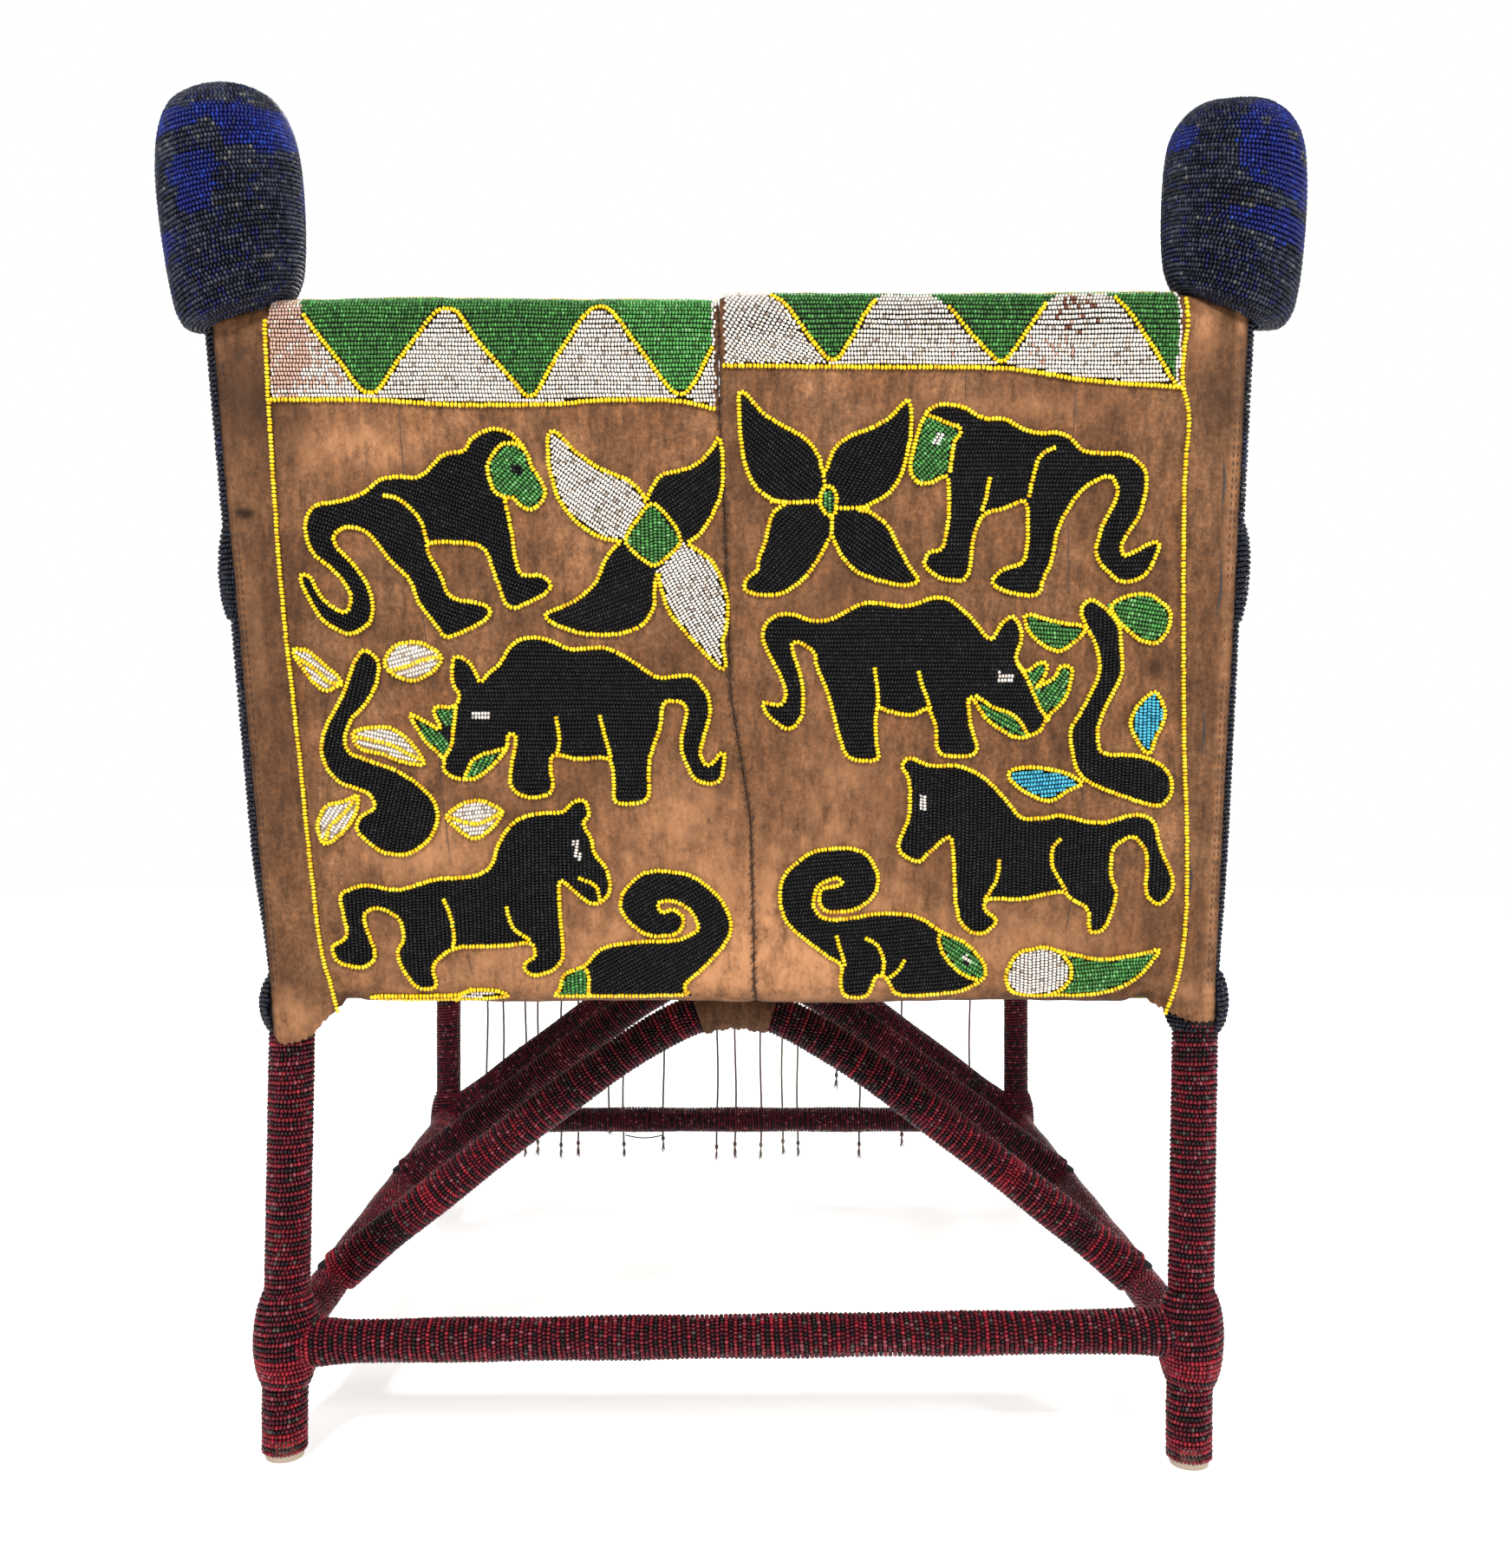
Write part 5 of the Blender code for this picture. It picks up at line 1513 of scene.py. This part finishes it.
def cover(side, name, columns=170, rows=205):
    """One half of the back's cloth, from the seam to the hem on the post, with its folds over both rails."""
    low_fold, high_fold = LOW_FOLD, TOP_RAIL_UP + CLOTH_OUT * TOP_WRAP
    t = np.linspace(0, 1, rows)[:, None]
    up = low_fold + (high_fold - low_fold) * t
    share = np.linspace(0, 1, columns)[None]
    post = np.vectorize(lambda u: post_x(side, min(u, POST_TOP)))(up)
    wrap = CLOTH_OUT * HEM_ANGLE[side]
    start = seam_x(up) + side * 0.00025
    across = start + (post + side * wrap - start) * share
    flat_x = side * np.minimum(side * across, side * post)
    beyond = np.maximum(0, side * (across - post))
    angle = beyond / CLOTH_OUT
    ripple = 0.0005 * np.sin(up * 700 + 3 * np.sin(up * 90)) * np.exp(-np.abs(across - seam_x(up)) / 0.006)
    hem = 0.0007 * np.exp(-(((wrap - beyond) / 0.0045) ** 2))
    hem = hem * (1 + 0.5 * np.sin(up * 500 + 2 * np.sin(up * 140)))

    def surface(depth):
        place, _, _ = on_back(flat_x, up, ripple + hem - depth)
        # Round the post the cloth leaves the back's plane and follows the post.
        turn = np.sin(angle)
        place[..., 0] += side * (CLOTH_OUT - depth) * turn
        inward = (CLOTH_OUT - depth) * (1 - np.cos(angle))
        place[..., 1] += inward * math.cos(RECLINE)
        place[..., 2] += inward * math.sin(RECLINE)
        return place

    def hanging(depth):
        """Below the seat rail the corner hangs straight down over the joint instead of folding under."""
        drop = np.clip((FOLD_UP - up) / (FOLD_UP - low_fold), 0, 1)
        outward = side * (across - post) / MM
        length = np.interp(outward, *CORNER_FLAPS[side]) * MM
        length = length + 0.0009 * np.sin(across * 1500) + 0.0006 * np.sin(across * 3700 + 1)
        place, _, _ = on_back(flat_x, np.full_like(across, FOLD_UP), ripple + hem - depth)
        inward = (CLOTH_OUT - depth) * (1 - np.cos(angle))
        place[..., 0] = flat_x + side * (CLOTH_OUT - depth) * np.sin(angle)
        place[..., 1] += inward * math.cos(RECLINE) + 0.0012 * drop
        place[..., 2] -= drop * length
        return place

    def blended(depth):
        """The surface, giving way to the hanging corner below the fold."""
        corner = np.clip((side * across - FLAP_X) / FLAP_BLEND, 0, 1)
        corner = (corner * corner * (3 - 2 * corner))[..., None] * (up < FOLD_UP)[..., None]
        return surface(depth) * (1 - corner) + hanging(depth) * corner

    upper, lower = blended(0.0), blended(CLOTH_THICK)
    if side < 0:
        upper, lower = upper[:, ::-1], lower[:, ::-1]
    points, faces = slab_mesh(upper, lower)
    obj = add_mesh(name + "_cloth", points, faces, [CLOTH])
    to_hem = wrap - side * (across - post)
    if side < 0:
        across, to_hem = across[:, ::-1], to_hem[:, ::-1]
    paint(obj, across.ravel() / MM, np.broadcast_to(up, across.shape).ravel() / MM, to_hem.ravel() / MM, side)
    return dress(obj, CHAIR, (name,), "cover_cloth")


def paint(obj, x, height, to_hem, side):
    """Wear and soiling of the cloth, as values on the mesh, and its flat layout for textures."""
    wear = np.zeros(len(x))
    soil = np.zeros(len(x))
    for values, spots in ((wear, WORN), (soil, SOILED)):
        for cx, cy, wide, high, strength in spots:
            ragged = 1 + 0.35 * np.sin(x * 0.31 + height * 0.17) * np.sin(height * 0.23 - x * 0.11)
            values += strength * np.exp(-(((x - cx) / wide) ** 2 + ((height - cy) / high) ** 2) * ragged)
    rubbed, grimy = (1.0, 0.30) if side > 0 else (0.30, 0.55)
    wear += rubbed * np.exp(-(((to_hem - 4.6) / 3.0) ** 2)) * (0.75 + 0.25 * np.sin(height * 0.7))
    soil += grimy * np.exp(-to_hem / 1.2) + 0.25 * np.exp(-np.abs(x - seam_x(height * MM) / MM) / 1.8)
    soil += 0.45 * np.exp(-(((height - 350) / 26) ** 2)) * np.exp(-np.maximum(0, 255 - np.abs(x)) / 6)
    soil += 0.5 * np.clip((-8 - height) / 10, 0, 1) * (np.abs(x) < 250)
    mesh = obj.data
    for name, values in (("wear", wear), ("soil", soil)):
        layer = mesh.attributes.new(name, "FLOAT", "POINT")
        layer.data.foreach_set("value", np.tile(np.clip(values, 0, 1), 2).astype(np.float32))
    flat_layout(mesh, np.tile(x, 2), np.concatenate((height, height + 480)))


def flat_layout(mesh, across, up):
    """Texture places straight from the cloth's own across and up."""
    layer = mesh.uv_layers.new(name="OFBake")
    index = np.empty(len(mesh.loops), np.int32)
    mesh.loops.foreach_get("vertex_index", index)
    low = np.array((across.min(), up.min()))
    size = max(np.ptp(across), np.ptp(up)) * 1.01
    uv = (np.column_stack((across, up)) - low) / size + 0.003
    layer.data.foreach_set("uv", uv[index].astype(np.float32).ravel())


# ---------------------------------------------------------------- stitches, creases and slits


def tubes(name, paths, material_list, slots=None, sides=6, shape=None):
    """Many tubes in one object; each path is (points, radii), and shape changes all the points at the end."""
    beads = Beads()
    for number, (points, radii) in enumerate(paths):
        stretch = [0 if slots is None else slots[number]] * len(points)
        beads.tube(points, radii, stretch, sides)
    points, faces, places = beads.joined()
    if shape is not None:
        points = shape(points)
    return add_mesh(name, points, faces, material_list, places)


STITCH_STEP = 4.6


def back_line(points, lift):
    """A line on the cloth from places across and up it in millimetres."""
    place, _, _ = on_back_mm(np.array(points, float), lift)
    return place


def stitches():
    """The slanting stitches down the seam, with short runs of thread between most of them."""
    paths = []
    for up in np.arange(-6, 398, STITCH_STEP):
        x = seam_x(np.array(up * MM)) / MM + RANDOM.normal(0, 0.4)
        slant = RANDOM.uniform(0.8, 2.4)
        ends = [(x - 1.9, up - slant), (x, up), (x + 1.9, up + slant)]
        paths.append((back_line(ends, 0.0004), [0.00022, 0.00042, 0.00022]))
        if RANDOM.random() < 0.75:
            run = [(x + RANDOM.normal(0, 0.3), up + 0.8), (x + RANDOM.normal(0, 0.3), up + 3.4)]
            paths.append((back_line(run, 0.0003), [0.00045, 0.00045]))
    obj = tubes("seam_stitches", paths, [SEAM_THREAD])
    dress(obj, CHAIR, slot="cover_cloth")


CREASES = (  # thin pressed folds in the cloth, across and up, drawn as dark lines of painted shade
    [(-198, 344), (-196, 300), (-193, 268)],
    [(-189, 236), (-186, 205), (-183, 180)],
    [(-182, 160), (-180, 118), (-176, 80)],
    [(-168, 24), (-165, 8)],
    [(127, 366), (127, 350)],
    [(190, 360), (190, 332), (189, 318)],
    [(188, 282), (189, 262), (190, 238)],
    [(196, 178), (198, 150), (203, 110)],
    [(201, 100), (206, 96), (214, 93)],
    [(197, 55), (195, 34)],
)
SLITS = (  # small cuts and worn slits, drawn as dark lines of painted shade in the openings
    [(276, 318), (278, 303), (277, 286)],
    [(277, 262), (279, 243), (276, 222)],
    [(272, 172), (273, 158), (272, 142)],
    [(266, 84), (270, 68), (267, 50)],
    [(-144, 253), (-136, 252)],
)


def creases():
    # The creases and slits are dark tubes of painted shade.
    paths = []
    for line in CREASES:
        points = resampled(rounded(line, False), 4)
        points = points + RANDOM.normal(0, 0.15, points.shape)
        share = np.linspace(0, 1, len(points))
        radii = np.interp(share, (0, 0.15, 0.85, 1), (0.00008, 0.00026, 0.00026, 0.00008))
        paths.append((back_line(points, 0.0), radii))
    for line in SLITS:
        points = resampled(rounded(line, False), 3)
        radii = 0.0001 + 0.0007 * np.sin(np.linspace(0, math.pi, len(points)))
        paths.append((back_line(points, -0.0001), radii))
    dress(tubes("creases_and_slits", paths, [CREASE_AND_SLIT_SHADE]), CHAIR, slot="cover_cloth")


def hem_stitches():
    """Two lines of running stitch along each outer edge of the cloth."""
    paths = []
    for side in (-1, 1):
        for inset in (0.0026, 0.0052):
            reach = CLOTH_OUT + 0.0006
            angle = HEM_ANGLE[side] - inset / CLOTH_OUT
            for up in np.arange(0.004, 0.372, STITCH_STEP * MM):
                line = []
                for step in (0, 0.0013, 0.0026):
                    at = up + step + RANDOM.normal(0, 0.0001)
                    x = post_x(side, at) + side * reach * math.sin(angle)
                    bow = 0.00025 if step == 0.0013 else -0.0002
                    line.append(back_point(x, at, reach * math.cos(angle) + bow))
                paths.append((line, [0.00020, 0.00030, 0.00020]))
    dress(tubes("hem_stitches", paths, [SEAM_THREAD]), CHAIR, slot="cover_cloth")


# ---------------------------------------------------------------- pads, slats, binding, header


PAD_SHRINK, PAD_CAP, PAD_PRESSURE = 0.012, 0.012, 4.0
PAD_VOXEL = 0.006
PAD_FLAT = 0.0006
BLOWN_FRAMES = 20


def simulated_pad(name, start, flat_side):
    """A stuffed pad: the frame's flat solid, a little smaller, blown up as cloth and capped.

    It swells to its free side and its edges, and stays flat where it rests: flat_side points there.
    """
    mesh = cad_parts[start].data.copy()
    obj = bpy.data.objects.new(name, mesh)
    bpy.context.scene.collection.objects.link(obj)
    middle = sum((v.co for v in mesh.vertices), Vector()) / len(mesh.vertices)
    flat_side = Vector(flat_side)
    floor = max((v.co - middle).dot(flat_side) for v in mesh.vertices)
    for vert in mesh.vertices:
        from_middle = vert.co - middle
        deep = from_middle.dot(flat_side) * flat_side
        vert.co = middle + deep * 0.96 + (from_middle - deep) * (1 - PAD_SHRINK)
    remesh = obj.modifiers.new("remesh", "REMESH")
    remesh.mode = "VOXEL"
    remesh.voxel_size = PAD_VOXEL
    apply_modifiers(obj)
    rest = np.empty(len(obj.data.vertices) * 3, np.float32)
    obj.data.vertices.foreach_get("co", rest)
    inflate(obj)
    moved = np.empty_like(rest)
    obj.data.vertices.foreach_get("co", moved)
    rest, moved = rest.reshape(-1, 3), moved.reshape(-1, 3)
    step = moved - rest
    size = np.linalg.norm(step, axis=1, keepdims=True)
    step *= np.minimum(1, PAD_CAP / np.maximum(size, 1e-9))
    points = rest + step
    past = (points - np.array(middle)) @ np.array(flat_side) - (floor - PAD_FLAT)
    points -= np.maximum(past, 0)[:, None] * np.array(flat_side)
    obj.data.vertices.foreach_set("co", points.astype(np.float32).ravel())
    subdivide = obj.modifiers.new("subdivide", "SUBSURF")
    subdivide.levels = subdivide.render_levels = 1
    apply_modifiers(obj)
    obj.data.materials.clear()
    obj.data.materials.append(LINING)
    obj.data.polygons.foreach_set("use_smooth", np.full(len(obj.data.polygons), True))
    return dress(obj, CHAIR, (start,), "pad_cloth")


def inflate(obj):
    """Blows the mesh up as cloth, without gravity."""
    cloth = obj.modifiers.new("cloth", "CLOTH")
    cloth.settings.quality = 4
    cloth.settings.mass = 0.3
    cloth.settings.tension_stiffness = 20
    cloth.settings.compression_stiffness = 20
    cloth.settings.bending_stiffness = 0.6
    cloth.settings.use_pressure = True
    cloth.settings.uniform_pressure_force = PAD_PRESSURE
    cloth.settings.effector_weights.gravity = 0
    cloth.point_cache.frame_start, cloth.point_cache.frame_end = 1, BLOWN_FRAMES
    scene = bpy.context.scene
    for number in range(1, BLOWN_FRAMES + 1):
        scene.frame_set(number)
        obj.evaluated_get(bpy.context.evaluated_depsgraph_get())
    apply_modifiers(obj)
    scene.frame_set(1)


def apply_modifiers(obj):
    """Gives the object the mesh that its modifiers make, and takes them off."""
    graph = bpy.context.evaluated_depsgraph_get()
    mesh = bpy.data.meshes.new_from_object(obj.evaluated_get(graph))
    obj.modifiers.clear()
    obj.data = mesh


def seat():
    """The two pads, the slats under the seat, and the bare cane inside the cloth's top fold."""
    simulated_pad("seat_cushion", "seat_pad", (0, 0, -1))
    rearward = (0, -math.cos(RECLINE), -math.sin(RECLINE))
    simulated_pad("backrest_cushion", "backrest_pad", rearward)
    slats()
    recolour(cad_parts["back_top_rail"], CANE)


def recolour(obj, material):
    if not obj.data.materials:
        obj.data.materials.append(material)
    for place in range(len(obj.data.materials)):
        obj.material_slots[place].material = material


SLAT_WIDTH, SLAT_THICK, SLAT_GAP = 0.0225, 0.0045, 0.0012
SLAT_END = 0.0155


def slats(steps=24):
    """Split canes under the seat pad, side by side from rail to rail."""
    low, high = (np.array(corner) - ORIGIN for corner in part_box("seat_deck"))
    middle = (low[2] + high[2]) / 2
    half = SLAT_WIDTH / 2
    paths = []
    for y in np.arange(low[1] + half, high[1] - half, SLAT_WIDTH + SLAT_GAP):
        share = (y - low[1]) / (high[1] - low[1])
        left = -REAR_X + SLAT_END + (FRONT_LEFT_X + REAR_X) * share
        right = REAR_X - SLAT_END + (FRONT_RIGHT_X - REAR_X) * share
        y += RANDOM.normal(0, 0.0004)
        xs = np.linspace(left, right, steps)
        bow = 0.0005 * np.sin(xs * 40 + y * 300)
        knot = left + 0.17 + 0.05 * math.sin(y * 90)
        swell = 1 + 0.10 * np.exp(-(((xs - knot) / 0.006) ** 2))
        paths.append((np.column_stack((xs, y + bow, np.full(steps, middle))), half * swell))

    def flattened(points):
        points[:, 2] = middle + (points[:, 2] - middle) * (SLAT_THICK / SLAT_WIDTH)
        return points

    obj = tubes("seat_slats", paths, [CANE], sides=12, shape=flattened)
    dress(obj, CHAIR, ("seat_deck",), "cane")


def arch_binding():
    """Worn cloth bound round the rear arch where the back's cloth is tied to it."""
    points = arch_points(ARCH_YS["rear_arch"])
    top_x = points[len(points) // 2][0]
    points = resampled(points[np.abs(points[:, 0] - top_x) < 0.030], 0.0016)
    run = lengths(points)
    radii = 0.0153 + 0.0006 * np.sin(run * 500) + 0.0005 * np.sin(run * 1330 + 1)
    radii[0] = radii[-1] = 0.0142
    obj = tubes("arch_binding_cloth", [(points, radii)], [LINING], sides=40)
    dress(obj, CHAIR, ("arch_binding",), "cover_cloth")


def fringe_header():
    """The cloth band along the front rail that the fringe hangs from, with a rolled lower edge."""
    low, high = (np.array(corner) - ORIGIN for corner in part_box("fringe_header"))
    columns, turns = 180, 28
    x = np.linspace(low[0], high[0], columns)[:, None]
    angle = np.arange(turns)[None] * 2 * math.pi / turns
    deep, tall = (high[1] - low[1]) / 2, (high[2] - low[2]) / 2
    square = np.abs(np.cos(angle)) ** 0.5 * np.sign(np.cos(angle))
    upright = np.abs(np.sin(angle)) ** 0.5 * np.sign(np.sin(angle))
    gather = 1 - 0.16 * np.abs(np.sin(x * 260)) ** 6
    y = (low[1] + high[1]) / 2 + deep * square * gather
    z = (low[2] + high[2]) / 2 + tall * upright * (1 - 0.03 * np.abs(np.sin(x * 260 + 0.4)))
    rings = np.stack(np.broadcast_arrays(x, y, z), axis=-1)
    points = np.vstack((rings.reshape(-1, 3), rings[[0, -1]].mean(axis=1)))
    obj = add_mesh("fringe_header_cloth", points, tube_faces(columns, turns), [LINING])
    dress(obj, CHAIR, ("fringe_header",), "cover_cloth")


# ---------------------------------------------------------------- fringe


PLY_R, PLY_TURN, PLIES = 0.00060, 0.0052, 3
THREAD_COLOURS = (0, 1, 0, 2, 0, 1, 2, 0, 1)
KNOT = (  # height, radius
    (0.0195, 0.0007), (0.0180, 0.0017), (0.0165, 0.0021), (0.0150, 0.0017), (0.0135, 0.0008),
)
HAIRS, HAIR_STEPS = 26, 6
LINKED_THREAD = 4


def thread_legs(name):
    """Where a doubled thread's two lower ends are, and its depth and top, from its frame node."""
    low, high = (np.array(corner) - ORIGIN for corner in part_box(name))
    spots = np.array([vert.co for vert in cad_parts[name].data.vertices]) - ORIGIN
    middle = (low[0] + high[0]) / 2
    legs = []
    for part in (spots[spots[:, 0] < middle], spots[spots[:, 0] >= middle]):
        foot = part[:, 2].min()
        legs.append((part[part[:, 2] < foot + 0.001][:, 0].mean(), foot))
    return legs, (low[1] + high[1]) / 2, high[2] - 0.001


def ply_turns(along, ply):
    """How far round the thread a ply has turned, by distance along it."""
    return along * 2 * math.pi / PLY_TURN + ply * 2 * math.pi / PLIES


def frayed_end(x, y, foot):
    """The loose hairs below a knot, as tubes."""
    share = np.linspace(0, 1, HAIR_STEPS)
    hairs = []
    for _ in range(HAIRS):
        reach = RANDOM.uniform(0.006, 0.0145)
        spread = RANDOM.normal(0, 0.0013, 2)
        hair = np.column_stack((
            x + spread[0] * share**1.4,
            y + spread[1] * share**1.4 * 0.7,
            foot + 0.0150 - reach * share,
        ))
        hairs.append((hair, np.linspace(0.00042, 0.00014, HAIR_STEPS)))
    return hairs


def fringe():
    """Each thread is three plies twisted together and hangs doubled, with a frayed knot at each lower end."""
    names = [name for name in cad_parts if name.startswith("fringe_thread_")]
    for number, name in enumerate(sorted(names, key=lambda name: int(name.split("_")[-1]))):
        legs, y, top = thread_legs(name)
        paths, slots = [], []
        colour = THREAD_COLOURS[number % len(THREAD_COLOURS)]
        for leg, (x, foot) in enumerate(legs):
            zs = np.arange(foot + 0.016, top, 0.0012)
            sway = 0.0007 * np.sin(zs * 45 + number * 2 + leg) * np.clip((top - zs) / 0.05, 0, 1)
            for ply in range(PLIES):
                turn = ply_turns(zs, ply)
                line = np.column_stack((x + sway + PLY_R * np.cos(turn), y + PLY_R * np.sin(turn), zs))
                paths.append((line, np.full(len(line), PLY_R)))
            slots += [colour] * PLIES
            heights, radii = np.array(KNOT).T
            knot = np.column_stack((np.full(len(KNOT), x + sway[0]), np.full(len(KNOT), y), foot + heights))
            paths.append((knot, radii))
            paths += frayed_end(x + sway[0], y, foot)
            slots += [(colour + leg) % len(FRINGE_THREADS)] * (1 + HAIRS)
        (x1, low1), (x2, _) = legs
        across = np.linspace(x1, x2, max(6, round((x2 - x1) / 0.0015)))
        for ply in range(PLIES):
            turn = ply_turns(across, ply)
            line = np.column_stack((across, y + PLY_R * np.cos(turn), top + PLY_R * np.sin(turn)))
            paths.append((line, np.full(len(line), PLY_R)))
            slots.append(colour)
        if number == LINKED_THREAD:
            paths.append(link_strand(x1, low1, y))
            slots.append(0)
        obj = tubes(name + "_twist", paths, FRINGE_THREADS, slots, sides=5)
        dress(obj, f"thread_{number + 1}", (name,), "fringe_thread")


def link_strand(x, foot, y, reach=0.040, steps=22):
    """A loose strand caught sideways on the thread."""
    across = np.linspace(0, reach, steps)
    line = np.column_stack((x - across, np.full(steps, y), foot + 0.020 - 0.003 * np.sin(across * 78)))
    return line, np.full(steps, 0.0007)


# ---------------------------------------------------------------- stage


# The backdrop is white to the camera, and lights the chair this much; the floor glows to match it.
AIR_LIGHT, FLOOR_GLOW = 0.42, 0.64
LIGHTS = (  # name, place, what it faces, size, power
    ("key", (-0.7, -2.4, 2.0), (0, 0, 0.4), 0.25, 76),
    ("fill", (2.0, -1.9, 1.2), (0, 0, 0.35), 0.3, 34),
    ("front", (0.6, 2.6, 2.0), (0, 0, 0.3), 1.2, 60),
)
CAMERA_PLACE, CAMERA_LENS = (0.0054, -1.246, 0.417), 36.06


def stage():
    """The pale floor, the backdrop and the lights."""
    floor = bpy.data.meshes.new("floor")
    shape = bmesh.new()
    bmesh.ops.create_grid(shape, x_segments=1, y_segments=1, size=6)
    shape.to_mesh(floor)
    shape.free()
    plane = bpy.data.objects.new("floor", floor)
    plane.location = (0, 0, -0.0002)
    bpy.context.scene.collection.objects.link(plane)
    made, tree, shader = new_material("pale_floor")
    speck = noise_output(tree, 3, 3, 0.5)
    tree.links.new(grey_ramp(tree, speck, (0.3, 0.76), (0.7, 0.80)), shader.inputs["Base Color"])
    shader.inputs["Roughness"].default_value = 0.9
    shader.inputs["Emission Color"].default_value = (1, 1, 1, 1)
    shader.inputs["Emission Strength"].default_value = FLOOR_GLOW
    floor.materials.append(made)

    studio_air()
    for light in LIGHTS:
        area_light(*light)


def studio_air():
    """A white backdrop that lights the chair only softly, shown without a film curve."""
    world = bpy.data.worlds.new("studio")
    world.use_nodes = True
    tree = world.node_tree
    backdrop = tree.nodes["Background"]
    backdrop.inputs["Color"].default_value = (1, 1, 1, 1)
    light_path = node(tree, "ShaderNodeLightPath")
    strength = node(tree, "ShaderNodeMapRange")
    tree.links.new(light_path.outputs["Is Camera Ray"], strength.inputs["Value"])
    strength.inputs["To Min"].default_value = AIR_LIGHT
    strength.inputs["To Max"].default_value = 1.0
    tree.links.new(strength.outputs["Result"], backdrop.inputs["Strength"])
    bpy.context.scene.world = world
    bpy.context.scene.view_settings.view_transform = "Standard"


def area_light(name, place, target, size, power):
    light = bpy.data.lights.new(name, "AREA")
    light.size = size
    light.energy = power
    obj = bpy.data.objects.new(name, light)
    obj.location = place
    obj.rotation_euler = (Vector(target) - Vector(place)).to_track_quat("-Z", "Y").to_euler()
    bpy.context.scene.collection.objects.link(obj)


def camera():
    """Level with the middle of the back and square to it."""
    data = bpy.data.cameras.new("camera")
    data.sensor_fit = "HORIZONTAL"
    data.sensor_width = 36
    data.lens = CAMERA_LENS
    obj = bpy.data.objects.new("camera", data)
    obj.location = Vector(CAMERA_PLACE) + Vector(ORIGIN)
    obj.rotation_euler = (math.pi / 2, 0, 0)
    bpy.context.scene.collection.objects.link(obj)
    bpy.context.scene.camera = obj


posts_and_legs()
stretchers_and_rails()
arches()
arms()
lashings()
finials()
beadwork()
cover(-1, "left_back_cover")
cover(1, "right_back_cover")
stitches()
creases()
hem_stitches()
seat()
arch_binding()
fringe_header()
fringe()
stage()
camera()
